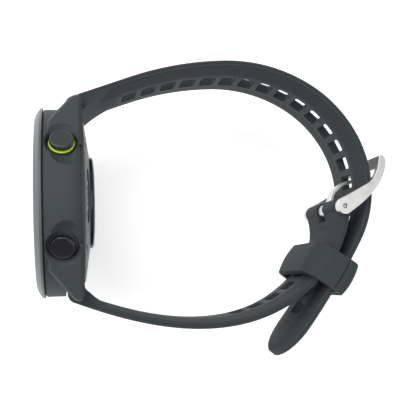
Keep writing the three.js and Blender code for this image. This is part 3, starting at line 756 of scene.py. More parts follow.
def reshape(piece: bpy.types.Object, change: Callable[[np.ndarray], np.ndarray]) -> None:
    """Moves every vertex of a piece by a rule.

    Args:
        piece: The piece.
        change: Takes the vertices' places and gives their new ones.
    """
    places = np.empty(len(piece.data.vertices) * 3)
    piece.data.vertices.foreach_get("co", places)
    moved = change(places.reshape(-1, 3))
    piece.data.vertices.foreach_set("co", moved.ravel())
    piece.data.update()


def tidy_mesh(piece: bpy.types.Object) -> None:
    """Merges doubled vertices and turns every face outwards."""
    with editing(piece):
        bpy.ops.mesh.remove_doubles(threshold=HAIR)
        bpy.ops.mesh.select_all(action="SELECT")
        bpy.ops.mesh.normals_make_consistent(inside=False)
        if bmesh.from_edit_mesh(piece.data).calc_volume(signed=True) < 0:
            bpy.ops.mesh.flip_normals()


def hand_over(
    piece: bpy.types.Object,
    name: str,
    body: str,
    finish: Finish,
    nodes: Sequence[str],
) -> bpy.types.Object:
    """Brings a piece to metres, dresses it and ties it to the frame.

    Args:
        piece: The finished piece, in millimetres.
        name: Its name.
        body: The body that it moves with.
        finish: Its finish.
        nodes: The CAD nodes that it stands for.

    Returns:
        The piece.
    """
    piece.scale = (MM, MM, MM)
    fix_place(piece)
    piece.name = name
    piece.data.name = name
    if not any(piece.data.materials):
        piece.data.materials.clear()
        piece.data.materials.append(finish.material())
    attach(piece, body)
    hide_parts(*nodes)
    LOG.info("%s: %d faces on %s", name, len(piece.data.polygons), body)
    return piece


def pivot_of(joint: str) -> Vector:
    """Returns a hinge's place from the frame, in millimetres."""
    found = next(entry for entry in frame["joints"] if entry["name"] == joint)
    return Vector(found["pos_m"]) / MM


def press_axis(joint: str) -> Vector:
    """Returns the way out of the case along a button's axis."""
    found = next(entry for entry in frame["joints"] if entry["name"] == joint)
    return -Vector(found["axis"])


def heading_vector(heading: float) -> Vector:
    """Returns the level direction at a heading in radians."""
    return Vector((math.cos(heading), math.sin(heading), 0))


@dataclass
class StrapLine:
    """A level line that a strap's outer face follows, in millimetres.

    Args:
        places: Points along the line, close together.
        skin_side: 1 where the wrist is on the left of the line, or -1.
    """

    places: np.ndarray
    skin_side: float

    def __post_init__(self) -> None:
        """Measures the line."""
        steps = np.diff(self.places, axis=0)
        lengths = np.hypot(steps[:, 0], steps[:, 1])
        self.distances = np.concatenate([[0.0], np.cumsum(lengths)])
        self.length = float(self.distances[-1])
        turns = np.unwrap(np.arctan2(steps[:, 1], steps[:, 0]))
        middles = (self.distances[1:] + self.distances[:-1]) / 2
        self.headings = np.interp(self.distances, middles, turns)

    def station(self, distance: float) -> tuple[Vector, float]:
        """Returns the place and heading at a distance along the line."""
        x = float(np.interp(distance, self.distances, self.places[:, 0]))
        y = float(np.interp(distance, self.distances, self.places[:, 1]))
        return Vector((x, y, 0)), float(np.interp(distance, self.distances, self.headings))

    def lay(self, flat: np.ndarray) -> np.ndarray:
        """Lays flat work along the line.

        Args:
            flat: Places as distance, depth from the outer face, and height.

        Returns:
            The places once laid.
        """
        distance, depth, height = flat.T
        heading = np.interp(distance, self.distances, self.headings)
        over = distance - np.clip(distance, 0, self.length)
        x = np.interp(distance, self.distances, self.places[:, 0]) + over * np.cos(heading)
        y = np.interp(distance, self.distances, self.places[:, 1]) + over * np.sin(heading)
        inward = self.skin_side * depth
        return np.stack(
            [x - inward * np.sin(heading), y + inward * np.cos(heading), height], axis=1
        )


@dataclass
class StrapPlan:
    """The lines of both strap halves and the places where they meet, in millimetres."""

    knuckle: float = 2.2
    thickness: float = 2.3
    tail_heading: float = 19.8
    tail_bends: Sequence[tuple[float, float]] = (
        (14.8, 0.0),
        (24.0, -17.7),
        (22.0, -32.6),
        (16.0, -28.5),
        (16.0, -31.5),
        (14.0, -29.8),
        (34.7, -11.3),
    )
    buckled_at: float = 90.0
    keeper_at: float = 117.0
    under_gap: float = 1.43
    buckle_heading: float = -21.2
    keeper_lean: float = 7.7
    end_lean: float = 12.0
    first_handle: float = 11.7
    second_handle: float = 30.5
    short_handle: float = 5.0
    arc_steps: int = 60
    curve_steps: int = 400

    def tail(self) -> StrapLine:
        """Returns the tail half's line, from straight above its bar to its tip."""
        heading = math.radians(self.tail_heading)
        out = Vector((-math.sin(heading), math.cos(heading), 0))
        place = pivot_of("tail_hinge") + out * self.knuckle
        places = [(place.x, place.y)]
        for length, turn in self.tail_bends:
            change = math.radians(turn) / self.arc_steps
            for _ in range(self.arc_steps):
                place = place + heading_vector(heading + change / 2) * (length / self.arc_steps)
                heading += change
                places.append((place.x, place.y))
        return StrapLine(np.array(places), -1.0)

    def buckle_half(self, tail: StrapLine) -> StrapLine:
        """Returns the buckle half's line, from its bar through the keeper to the pivot.

        Args:
            tail: The tail half's line, which it runs beneath.

        Returns:
            The buckle half's line.
        """
        heading = math.radians(self.buckle_heading)
        out = Vector((math.sin(heading), -math.cos(heading), 0))
        start = pivot_of("buckle_strap_hinge") + out * self.knuckle
        keeper, keeper_way = tail.station(self.keeper_at)
        left = heading_vector(keeper_way + math.pi / 2)
        middle = keeper - left * (self.thickness + self.under_gap)
        middle_way = heading_vector(keeper_way + math.pi - math.radians(self.keeper_lean))
        _, buckled_way = tail.station(self.buckled_at)
        end_way = heading_vector(buckled_way + math.pi - math.radians(self.end_lean))
        end = pivot_of("buckle_turn") + Vector((end_way.y, -end_way.x, 0)) * self.knuckle
        first = self._curve(
            start,
            start + heading_vector(heading) * self.first_handle,
            middle - middle_way * self.second_handle,
            middle,
        )
        second = self._curve(
            middle,
            middle + middle_way * self.short_handle,
            end - end_way * self.short_handle,
            end,
        )
        return StrapLine(np.concatenate([first, second[1:]]), 1.0)

    def _curve(self, start: Vector, leave: Vector, arrive: Vector, end: Vector) -> np.ndarray:
        """Returns points along a curve with two handles."""
        share = np.linspace(0, 1, self.curve_steps)[:, None]
        rest = 1 - share
        corners = [np.array(corner[:2]) for corner in (start, leave, arrive, end)]
        return (
            rest**3 * corners[0]
            + 3 * rest**2 * share * corners[1]
            + 3 * rest * share**2 * corners[2]
            + share**3 * corners[3]
        )


@dataclass
class Studio:
    """The floor, the lights and the camera. Lengths are in metres and angles in degrees."""

    camera_place: Point = (-0.0062, -0.01953, 0.17816)
    camera_turn: Point = (5.983, -10.877, -1.98)
    lens: float = 62.0
    floor_size: float = 3.0
    floor_gap: float = 0.0003
    floor_colour: Colour = (0.93, 0.93, 0.93)
    floor_glow: float = 0.5
    world_colour: Colour = (1.0, 1.0, 1.0)
    world_strength: float = 0.42

    def build(self) -> None:
        """Sets up the floor, the lights and the camera."""
        self._floor()
        self._world()
        self._light("key", (-0.25, 0.28, 0.45), 0.35, 1.5)
        self._light("fill", (0.35, -0.25, 0.4), 0.4, 0.45)
        self._light("top", (0.03, 0.02, 0.6), 0.5, 1.0)
        self._light("side", (-0.45, 0.05, 0.22), 0.3, 0.6)
        camera = bpy.data.cameras.new("camera")
        camera.lens = self.lens
        camera.clip_start = 0.01
        holder = bpy.data.objects.new("camera", camera)
        holder.location = self.camera_place
        holder.rotation_euler = [math.radians(turn) for turn in self.camera_turn]
        bpy.context.scene.collection.objects.link(holder)
        bpy.context.scene.camera = holder
        bpy.context.scene.view_settings.view_transform = "Standard"

    def _floor(self) -> None:
        """Lays the pale floor just under the watch."""
        clear_selection()
        level = CAD_BOX[0].z - self.floor_gap
        bpy.ops.mesh.primitive_plane_add(size=self.floor_size, location=(0, 0, level))
        floor = bpy.context.object
        floor.name = "floor"
        finish = Finish(
            "floor_paper",
            self.floor_colour,
            self.floor_colour,
            roughness=0.9,
            spread=0.02,
            strength=0.02,
            specular=0.1,
            glow=self.floor_glow,
        )
        floor.data.materials.append(finish.material())
        fix_place(floor)

    def _world(self) -> None:
        """Fills the room with even pale light."""
        world = bpy.data.worlds.new("studio")
        world.use_nodes = True
        sky = world.node_tree.nodes["Background"]
        sky.inputs["Color"].default_value = (*self.world_colour, 1)
        sky.inputs["Strength"].default_value = self.world_strength
        bpy.context.scene.world = world

    def _light(self, name: str, place: Point, size: float, power: float) -> None:
        """Hangs a soft square light that faces the middle of the watch.

        Args:
            name: The light's name.
            place: Where it hangs.
            size: The length of its sides.
            power: Its power in watts.
        """
        light = bpy.data.lights.new(name, "AREA")
        light.size = size
        light.energy = power
        holder = bpy.data.objects.new(name, light)
        holder.location = place
        middle = (CAD_BOX[0] + CAD_BOX[1]) / 2
        way = middle - Vector(place)
        holder.rotation_mode = "QUATERNION"
        holder.rotation_quaternion = way.to_track_quat("-Z", "Y")
        bpy.context.scene.collection.objects.link(holder)


@dataclass
class Case:
    """The case body with its four lugs and five button wells, in millimetres."""

    body_radius: float = 22.7
    front: float = -11.6
    back: float = -3.4
    cavity: float = 17.0
    recess: float = 19.7
    recess_floor: float = -10.85
    taper: float = 1.3
    taper_start: float = 3.2
    lug_low: float = 11.35
    lug_high: float = 20.2
    lug_outline: Sequence[tuple[float, float]] = (
        (-3.0, 11.0),
        (-10.9, 11.0),
        (-10.9, 16.6),
        (-8.6, 19.4),
        (-5.6, 22.95),
        (-4.8, 23.6),
        (-3.9, 23.75),
        (-3.1, 23.3),
        (-2.8, 22.4),
    )
    facet_point: Point = (0.0, 20.95, 15.45)
    facet_normal: Point = (0.0, 0.401, 0.916)
    chamfer: float = 0.8
    cover: float = 20.52
    pocket_floor: float = 19.45
    pocket_wall: float = -7.0
    well_floor: float = 21.05
    well_radius: float = 3.45
    well_flare: float = 0.9
    well_twist: float = 0.021
    button_place: float = -7.5
    scoop_radius: float = 6.2
    scoop_depth: float = 0.7
    scoop_shift: float = 3.4
    edge: float = 0.22
    buttons: Sequence[str] = ("start", "back", "light", "up", "down")

    def build(self) -> None:
        """Builds the case body and dresses it."""
        body = self._shell()
        for side_y in (1, -1):
            for side_z in (1, -1):
                carve(body, self._lug(side_y, side_z), "UNION")
        for side_y in (1, -1):
            carve(body, self._pocket(side_y))
            carve(body, self._pin_hole(side_y))
        for button in self.buttons:
            if button in ("start", "back"):
                carve(body, self._scoop(button))
            carve(body, self._well(button))
        tidy_mesh(body)
        soften(body, self.edge, 2, 40)
        tidy_mesh(body)
        smooth(body, 40)
        hand_over(body, "case_shell", "watch_case", CASE_RESIN, ["case_body"])

    def _shell(self) -> bpy.types.Object:
        """Turns the round body with its softened front edge and its tapered back."""
        wide, narrow = self.body_radius, self.body_radius - self.taper
        start = self.back - self.taper_start
        return turn_on_lathe(
            [
                (self.front - 0.22, self.recess),
                (self.front - 0.22, wide - 0.7),
                (self.front, wide - 0.65),
                (self.front, wide - 0.3),
                (self.front + 0.12, wide - 0.08),
                (self.front + 0.35, wide),
                (start, wide),
                (start + 1.1, wide - 0.16),
                (start + 2.1, wide - 0.55),
                (self.back - 0.3, narrow + 0.12),
                (self.back, narrow - 0.2),
                (self.back, self.cavity),
                (self.recess_floor, self.cavity),
                (self.recess_floor, self.recess),
            ],
            segments=192,
            hollow=True,
        )

    def _lug(self, side_y: int, side_z: int) -> bpy.types.Object:
        """Makes one lug: a plate with a sloping outer facet and a chamfer round it.

        Args:
            side_y: 1 for the twelve o'clock end, or -1.
            side_z: 1 for the three o'clock side, or -1.

        Returns:
            The lug.
        """
        lug = cut_plate(self.lug_outline, self.lug_low, self.lug_high)
        normal = Vector(self.facet_normal).normalized()
        start = Vector(self.facet_point) - normal * self.chamfer
        with editing(lug):
            bpy.ops.mesh.bisect(plane_co=start, plane_no=normal, clear_outer=True, use_fill=True)
            pick(Part.FACE, lambda middle, way: way.dot(normal) > 0.99)
            bpy.ops.mesh.inset(thickness=self.chamfer, depth=self.chamfer)
        carve(lug, turn_on_lathe([(-20, self.cavity + 0.4), (5, self.cavity + 0.4)]))
        carve(lug, turn_on_lathe([(self.back, self.cover), (5, self.cover)], 192))
        move_by(lug, Matrix.Diagonal((1, side_y, side_z, 1)))
        tidy_mesh(lug)
        return lug

    def _pocket(self, side_y: int) -> bpy.types.Object:
        """Returns the space that a strap end needs between its lugs."""
        near, far = sorted((side_y * self.pocket_floor, side_y * 40))
        return add_block((self.pocket_wall, near, -self.lug_low), (20, far, self.lug_low))

    def _pin_hole(self, side_y: int) -> bpy.types.Object:
        """Returns the blind holes that the spring bar's tips sit in, as one rod."""
        hole = turn_on_lathe([(-12.75, 0.55), (12.75, 0.55)], 24)
        place = pivot_of("tail_hinge" if side_y > 0 else "buckle_strap_hinge")
        turn = X_AXIS.rotation_difference(Z_AXIS).to_matrix().to_4x4()
        move_by(hole, Matrix.Translation(place) @ turn)
        return hole

    def _outward(self, button: str) -> Matrix:
        """Returns what turns work along X to point out along a button's axis."""
        turn = X_AXIS.rotation_difference(press_axis(f"{button}_press"))
        return Matrix.Translation((self.button_place, 0, 0)) @ turn.to_matrix().to_4x4()

    def _well(self, button: str) -> bpy.types.Object:
        """Returns the round well of a button, which flares where it opens."""
        mouth = self.well_radius + self.well_flare
        well = turn_on_lathe(
            [
                (self.well_floor, self.well_radius),
                (self.body_radius - 0.9, self.well_radius),
                (self.body_radius - 0.4, self.well_radius + 0.22),
                (self.body_radius + 0.2, mouth),
                (self.body_radius + 3, mouth + 1.6),
            ],
            64,
        )
        move_by(well, self._outward(button) @ Matrix.Rotation(self.well_twist, 4, "X"))
        return well

    def _scoop(self, button: str) -> bpy.types.Object:
        """Returns the shallow hollow that leads a thumb to a button."""
        way = -1 if press_axis(f"{button}_press").y > 0 else 1
        clear_selection()
        bpy.ops.mesh.primitive_uv_sphere_add(segments=64, ring_count=32, radius=self.scoop_radius)
        scoop = bpy.context.object
        with editing(scoop):
            bpy.ops.transform.resize(value=(1.3, 1, 0.9), center_override=(0, 0, 0))
        axis = press_axis(f"{button}_press")
        along = Vector((0, way * axis.z, -way * axis.y))
        depth = self.body_radius + 1.3 * self.scoop_radius - self.scoop_depth - 1.0
        place = Vector((self.button_place + 0.8, 0, 0)) + axis * depth + along * self.scoop_shift
        turn = X_AXIS.rotation_difference(axis).to_matrix().to_4x4()
        move_by(scoop, Matrix.Translation(place) @ turn)
        return scoop


@dataclass
class Front:
    """The bezel ring and the display glass, in millimetres."""

    bezel_profile: Profile = (
        (-13.70, 20.15),
        (-13.70, 20.75),
        (-13.58, 21.15),
        (-13.30, 21.72),
        (-12.85, 22.42),
        (-12.62, 22.72),
        (-12.45, 22.95),
        (-12.30, 23.05),
        (-12.02, 23.05),
        (-11.90, 23.0),
        (-11.85, 22.88),
        (-11.85, 19.6),
        (-10.90, 19.6),
        (-10.90, 18.9),
        (-12.05, 18.9),
        (-12.05, 20.15),
    )
    glass_profile: Profile = (
        (-13.50, 2.0),
        (-13.50, 19.5),
        (-13.47, 19.75),
        (-13.40, 19.93),
        (-13.28, 20.03),
        (-12.35, 20.03),
        (-12.35, 2.0),
    )

    def build(self) -> None:
        """Builds the bezel and the glass and dresses them."""
        bezel = turn_on_lathe(self.bezel_profile, 192, hollow=True)
        smooth(bezel, 50)
        hand_over(bezel, "bezel", "watch_case", BEZEL_RESIN, ["bezel_ring"])
        glass = turn_on_lathe(self.glass_profile, 192)
        smooth(glass, 50)
        hand_over(glass, "lens", "watch_case", DISPLAY_GLASS, ["display_glass"])


@dataclass
class Back:
    """The back cover with its charging port, screws and sensor, in millimetres."""

    cover_profile: Profile = (
        (-1.15, 11.3),
        (-1.15, 11.55),
        (-1.32, 12.6),
        (-2.30, 19.4),
        (-2.55, 20.08),
        (-2.80, 20.32),
        (-3.05, 20.4),
        (-3.35, 20.4),
        (-3.35, 16.9),
        (-4.35, 16.9),
        (-4.35, 15.7),
        (-2.85, 15.7),
        (-2.85, 9.3),
        (-2.25, 9.3),
        (-2.25, 11.3),
    )
    rim_profile: Profile = (
        (-2.2, 10.0),
        (-2.2, 11.2),
        (-0.62, 11.2),
        (-0.45, 11.1),
        (-0.28, 10.85),
        (-0.17, 10.55),
        (-0.15, 10.3),
        (-0.15, 10.0),
    )
    window_profile: Profile = (
        (-1.2, 2.0),
        (-1.2, 9.9),
        (-0.42, 9.9),
        (-0.24, 9.82),
        (-0.1, 9.55),
        (-0.02, 9.15),
        (0.0, 8.7),
        (0.0, 2.0),
    )
    port_height: float = 14.9
    port_length: float = 12.4
    port_width: float = 4.2
    port_floor: float = -2.4
    contact_top: float = -1.88
    contact_bottom: float = -3.3
    contact_radius: float = 0.5
    head_radius: float = 1.15
    head_top: float = -2.35
    head_bottom: float = -2.9
    pocket_floor: float = 19.45
    pocket_half: float = 11.35
    places: Sequence[str] = ("upper_right", "lower_right", "upper_left", "lower_left")

    def build(self) -> None:
        """Builds everything on the wrist side of the case and dresses it."""
        self._cover()
        rim = turn_on_lathe(self.rim_profile, 160, hollow=True)
        smooth(rim, 40)
        hand_over(rim, "rim", "watch_case", RIM_STEEL, ["sensor_rim"])
        window = turn_on_lathe(self.window_profile, 160)
        smooth(window, 40)
        hand_over(window, "window", "watch_case", SENSOR_GLASS, ["sensor_window"])
        for place in self.places:
            self._screw(place)
        for number in range(1, 5):
            self._contact(number)

    def _cover(self) -> None:
        """Turns the cover and cuts its port, pockets, screw seats and contact holes."""
        cover = turn_on_lathe(self.cover_profile, 192, hollow=True)
        carve(cover, self._port())
        for side in (1, -1):
            near, far = sorted((side * self.pocket_floor, side * 40))
            low = (-9, near, -self.pocket_half)
            carve(cover, add_block(low, (5, far, self.pocket_half)))
        for place in self.places:
            seat = turn_on_lathe([(-8, 0.65), (-2.95, 0.65), (-2.95, 1.25), (2, 1.3)], 32)
            move_by(seat, Matrix.Translation(self._middle(f"cover_screw_{place}")))
            carve(cover, seat)
        for number in range(1, 5):
            hole = turn_on_lathe([(-6, 0.56), (1, 0.56)], 24)
            move_by(hole, Matrix.Translation(self._middle(f"charge_contact_{number}")))
            carve(cover, hole)
        tidy_mesh(cover)
        soften(cover, 0.12, 2, 40)
        tidy_mesh(cover)
        smooth(cover, 40)
        hand_over(cover, "cover", "watch_case", COVER_RESIN, ["back_cover"])

    def _middle(self, node: str) -> Vector:
        """Returns the middle of a CAD node across the X axis, in millimetres."""
        low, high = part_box(node)
        return Vector((0, (low.y + high.y) / 2, (low.z + high.z) / 2)) / MM

    def _port(self) -> bpy.types.Object:
        """Returns the oblong hollow of the charging port."""
        half = self.port_length / 2
        port = add_block(
            (self.port_floor, -half, self.port_height - self.port_width / 2),
            (1, half, self.port_height + self.port_width / 2),
        )
        with editing(port):
            pick(Part.EDGE, lambda middle, run: abs(run.normalized().x) > 0.9)
            bpy.ops.mesh.bevel(offset=self.port_width / 2 - 0.02, segments=12)
        return port

    def _screw(self, place: str) -> None:
        """Makes one cover screw, with a six-sided socket in its domed head."""
        head = self.head_radius
        screw = turn_on_lathe(
            [
                (-7.05, 0.4),
                (-6.9, 0.55),
                (self.head_bottom, 0.55),
                (self.head_bottom, head),
                (self.head_top - 0.12, head),
                (self.head_top - 0.03, head - 0.1),
                (self.head_top, head - 0.3),
            ],
            32,
        )
        socket = turn_on_lathe([(self.head_top - 0.3, 0.5), (self.head_top + 1, 0.5)], 6)
        carve(screw, socket)
        smooth(screw, 35)
        move_by(screw, Matrix.Translation(self._middle(f"cover_screw_{place}")))
        name = f"screw_{place}"
        hand_over(screw, name, "watch_case", BRUSHED_STEEL, [f"cover_screw_{place}"])

    def _contact(self, number: int) -> None:
        """Makes one charging contact, a plated pin with a rounded face."""
        wide = self.contact_radius
        pin = turn_on_lathe(
            [
                (self.contact_bottom, wide),
                (self.contact_top - 0.12, wide),
                (self.contact_top - 0.03, wide - 0.09),
                (self.contact_top, wide - 0.22),
            ],
            32,
        )
        smooth(pin, 35)
        move_by(pin, Matrix.Translation(self._middle(f"charge_contact_{number}")))
        name = f"contact_{number}"
        hand_over(pin, name, "watch_case", PLATED, [f"charge_contact_{number}"])


class CapStyle(Enum):
    """How a button's cap ends."""

    FLAT = "flat"
    DOMED = "domed"


@dataclass
class Buttons:
    """The five buttons and the lime ring under the start button, in millimetres."""

    axis_place: float = -7.5
    stem: Profile = ((16.2, 1.0), (21.65, 1.0), (21.65, 2.32), (22.4, 2.32), (22.4, 2.62))
    flat_top: Profile = (
        (22.5, 2.72),
        (23.22, 2.72),
        (23.42, 2.67),
        (23.57, 2.55),
        (23.64, 2.4),
        (23.62, 2.3),
        (23.55, 2.22),
        (23.53, 2.0),
        (23.54, 0.3),
    )
    domed_top: Profile = (
        (22.5, 2.72),
        (22.95, 2.72),
        (23.12, 2.66),
        (23.24, 2.52),
        (23.36, 2.2),
        (23.5, 1.6),
        (23.59, 1.0),
        (23.64, 0.4),
        (23.65, 0.1),
    )
    ring_profile: Profile = (
        (21.70, 2.37),
        (21.70, 2.8),
        (21.76, 2.87),
        (22.0, 2.87),
        (22.07, 2.8),
        (22.07, 2.37),
    )
    styles: dict[str, tuple[CapStyle, Finish, str]] = field(
        default_factory=lambda: {
            "start": (CapStyle.FLAT, DARK_CAP, "button_dark"),
            "back": (CapStyle.DOMED, GLOSS_CAP, "button_gloss"),
            "light": (CapStyle.FLAT, DARK_CAP, "button_dark"),
            "up": (CapStyle.FLAT, DARK_CAP, "button_dark"),
            "down": (CapStyle.FLAT, DARK_CAP, "button_dark"),
        }
    )

    def build(self) -> None:
        """Builds the buttons and the ring and dresses them."""
        for name, (style, finish, slot) in self.styles.items():
            top = self.flat_top if style is CapStyle.FLAT else self.domed_top
            cap = turn_on_lathe([*self.stem, *top], 72)
            smooth(cap, 40)
            self._stand_out(cap, name)
            hand_over(cap, f"{name}_cap", f"{name}_key", finish, [f"{name}_button"])
        ring = turn_on_lathe(self.ring_profile, 72, hollow=True)
        smooth(ring, 40)
        self._stand_out(ring, "start")
        hand_over(ring, "lime_ring", "start_key", LIME, ["start_button_ring"])

    def _stand_out(self, piece: bpy.types.Object, button: str) -> None:
        """Turns work along X to point out along a button's axis."""
        turn = X_AXIS.rotation_difference(press_axis(f"{button}_press")).to_matrix().to_4x4()
        move_by(piece, Matrix.Translation((self.axis_place, 0, 0)) @ turn)


@dataclass
class StrapHalf:
    """One half of the strap, modelled flat and then laid along its line, in millimetres.

    Flat work has X along the strap, Y in from the outer face and Z across it.
    """

    line: StrapLine
    half: float = 11.0
    edge: float = 1.5
    thickness: float = 2.3
    plateau: float = 10.0
    knuckle: float = 2.2
    bar_bore: float = 0.83
    slot_length: float = 3.4
    slot_width: float = 6.5
    slot_pitch: float = 5.4
    slot_flare: float = 0.3
    groove: float = 0.14
    station_length: float = 0.9
    root: Profile = (
        (0.4, 1.0),
        (12.0, 1.0),
        (11.0, 1.2),
        (9.4, 1.5),
        (7.4, 1.88),
        (5.6, 2.34),
        (4.0, 2.82),
        (2.7, 3.32),
        (1.7, 3.7),
        (0.6, 3.95),
    )
    notch_reach: float = 5.0
    lit_frost_start: float = 12.0
    lit_frost_gap: float = 2.0

    def band(self) -> bpy.types.Object:
        """Returns the flat band, with soft edges, a parting line and a crowned skin side."""
        length = self.line.length
        band = add_block((0, 0, -self.half), (length, self.edge, self.half))
        with editing(band):
            pick(Part.FACE, lambda middle, normal: normal.y > 0.9)
            rise = self.thickness - self.edge
            bpy.ops.mesh.extrude_region_move(TRANSFORM_OT_translate={"value": (0, rise, 0)})
            bpy.ops.transform.resize(
                value=(1, 1, self.plateau / (2 * self.half)),
                center_override=(0, self.thickness, 0),
            )
            self._pick_long(lambda middle: abs(middle.z) > self.half - HAIR)
            bpy.ops.mesh.bevel(offset=0.34, segments=3)
            self._pick_long(lambda middle: middle.y > self.thickness - HAIR)
            bpy.ops.mesh.bevel(offset=1.4, segments=4)
            for place in (0.64, 0.75, 0.86):
                bpy.ops.mesh.select_all(action="SELECT")
                bpy.ops.mesh.bisect(plane_co=(0, place, 0), plane_no=(0, 1, 0))
            pick(
                Part.VERTEX,
                lambda place, normal: (
                    abs(place.y - 0.75) < HAIR and abs(place.z) > self.half - 0.1
                ),
            )
            bpy.ops.transform.resize(
                value=(1, 1, (self.half - self.groove) / self.half), center_override=(0, 0.75, 0)
            )
            self._pick_long(lambda middle: True)
            bpy.ops.mesh.subdivide(number_cuts=int(length / self.station_length))
        return band

    def _pick_long(self, test: Callable[[Vector], bool]) -> None:
        """Selects the edges that run the strap's whole length and pass a test."""
        least = self.line.length * 0.9
        pick(Part.EDGE, lambda middle, run: abs(run.x) > least and test(middle))

    def add_knuckle(self, band: bpy.types.Object, at: float) -> None:
        """Rolls an end of the band round its bar.

        Args:
            band: The flat band.
            at: Where the bar is along the band.
        """
        roll = turn_on_lathe(
            [
                (-self.half, self.knuckle - 0.3),
                (-self.half + 0.08, self.knuckle - 0.1),
                (-self.half + 0.3, self.knuckle),
                (self.half - 0.3, self.knuckle),
                (self.half - 0.08, self.knuckle - 0.1),
                (self.half, self.knuckle - 0.3),
            ],
            64,
        )
        carve(band, self._across(roll, at), "UNION")
        way = -1 if at > 0 else 1
        outline = [(at + way * along, depth) for along, depth in self.root]
        carve(band, cut_plate(outline, -self.half + 0.12, self.half - 0.12), "UNION")
        bore = turn_on_lathe([(-20, self.bar_bore), (20, self.bar_bore)], 32)
        carve(band, self._across(bore, at))

    def _across(self, piece: bpy.types.Object, at: float) -> bpy.types.Object:
        """Turns work along X across the band, to where a bar is."""
        turn = X_AXIS.rotation_difference(Z_AXIS).to_matrix().to_4x4()
        move_by(piece, Matrix.Translation((at, self.knuckle, 0)) @ turn)
        return piece

    def cut_slots(self, band: bpy.types.Object, first: float, count: int) -> None:
        """Cuts the row of slots, each with round corners and a flared rim.

        Args:
            band: The flat band.
            first: Where the first slot is along the band.
            count: How many slots there are.
        """
        half_x, half_z = self.slot_length / 2, self.slot_width / 2
        flare = self.slot_flare
        tool = add_block(
            (first - half_x, flare, -half_z), (first + half_x, self.thickness - flare, half_z)
        )
        wider = (1 + 2 * flare / self.slot_length, 1, 1 + 2 * flare / self.slot_width)
        with editing(tool):
            pick(Part.EDGE, lambda middle, run: abs(run.normalized().y) > 0.9)
            bpy.ops.mesh.bevel(offset=0.85, segments=4)
            for way in (1, -1):
                pick(Part.FACE, lambda middle, normal: normal.y * way > 0.9)
                bpy.ops.mesh.extrude_region_move(
                    TRANSFORM_OT_translate={"value": (0, way * flare, 0)}
                )
                bpy.ops.transform.resize(value=wider, center_override=(first, 0, 0))
                bpy.ops.mesh.extrude_region_move(TRANSFORM_OT_translate={"value": (0, way, 0)})
        apply_modifier(
            tool,
            "ARRAY",
            count=count,
            use_relative_offset=False,
            use_constant_offset=True,
            constant_offset_displace=(self.slot_pitch, 0, 0),
        )
        carve(band, tool)

    def cut_notch(self, band: bpy.types.Object) -> None:
        """Cuts the notch through which a finger reaches the release knob."""
        tool = add_block((0.2, 2.2, 6.4), (self.notch_reach, 8, 9.1))
        turn = Matrix.Rotation(math.radians(62), 4, "Z")
        place = Vector((0, self.knuckle, 0))
        move_by(tool, Matrix.Translation(place) @ turn @ Matrix.Translation(-place))
        carve(band, tool)

    def lay(self, band: bpy.types.Object) -> None:
        """Lays the flat band along its line, frosts its crown with a lighter colour that paints
        the light falling on it, and finishes its surface.
        """
        band.data.materials.clear()
        band.data.materials.append(SILICONE.material())
        band.data.materials.append(FROSTED_AND_LIT.material())
        # Painted light: the crown faces take the lighter frosted material, which stands for the
        # light that falls on them.
        for face in band.data.polygons:
            crown = face.center.y > self.thickness - 0.05 and face.normal.y > 0.9
            along = self.lit_frost_start < face.center.x < self.line.length - self.lit_frost_gap
            if crown and along and abs(face.center.z) < self.plateau / 2:
                face.material_index = 1
        reshape(band, self.line.lay)
        tidy_mesh(band)
        smooth(band, 32)


@dataclass
class Strap:
    """Both strap halves, in millimetres."""

    plan: StrapPlan = field(default_factory=StrapPlan)
    tail_first_slot: float = 14.4
    tail_slots: int = 22
    tip: float = 9.0
    buckle_first_slot: float = 42.0
    buckle_slots: int = 6
    prong_room: float = 2.25

    def build(self) -> None:
        """Builds both halves and dresses them."""
        self.tail_line = self.plan.tail()
        self._tail()
        self._buckle_half()

    def _tail(self) -> None:
        """Builds the long half, with its row of slots and its round tip."""
        half = StrapHalf(self.tail_line)
        band = half.band()
        half.add_knuckle(band, 0)
        half.cut_slots(band, self.tail_first_slot, self.tail_slots)
        reshape(band, self._round_tip)
        half.lay(band)
        hand_over(band, "tail_band", "tail_half", SILICONE, ["tail_strap"])

    def _round_tip(self, flat: np.ndarray) -> np.ndarray:
        """Draws the end of the tail in to half an ellipse.

        Args:
            flat: The flat band's vertices.

        Returns:
            Their places with the tip rounded.
        """
        start = self.tail_line.length - self.tip
        turned = np.clip((flat[:, 0] - start) / self.tip, 0, 1) * math.pi / 2
        rounded = flat.copy()
        rounded[:, 0] = np.where(turned > 0, start + self.tip * np.sin(turned), flat[:, 0])
        rounded[:, 2] *= np.cos(turned)
        rounded[:, 1] *= 1 - 0.3 * (1 - np.cos(turned)) ** 2
        return rounded

    def _buckle_half(self) -> None:
        """Builds the short half, with the gap in its end roll for the prong."""
        line = self.plan.buckle_half(self.tail_line)
        half = StrapHalf(line, lit_frost_gap=StrapHalf.lit_frost_start)
        band = half.band()
        half.add_knuckle(band, 0)
        half.add_knuckle(band, line.length)
        half.cut_slots(band, self.buckle_first_slot, self.buckle_slots)
        room = self.prong_room
        reach = half.knuckle + 1.3
        end = line.length
        carve(band, add_block((end - reach, -2, -room), (end + reach, 9, room)))
        half.lay(band)
        nodes = ["buckle_strap"]
        hand_over(band, "buckle_band", "buckle_half", SILICONE, nodes)


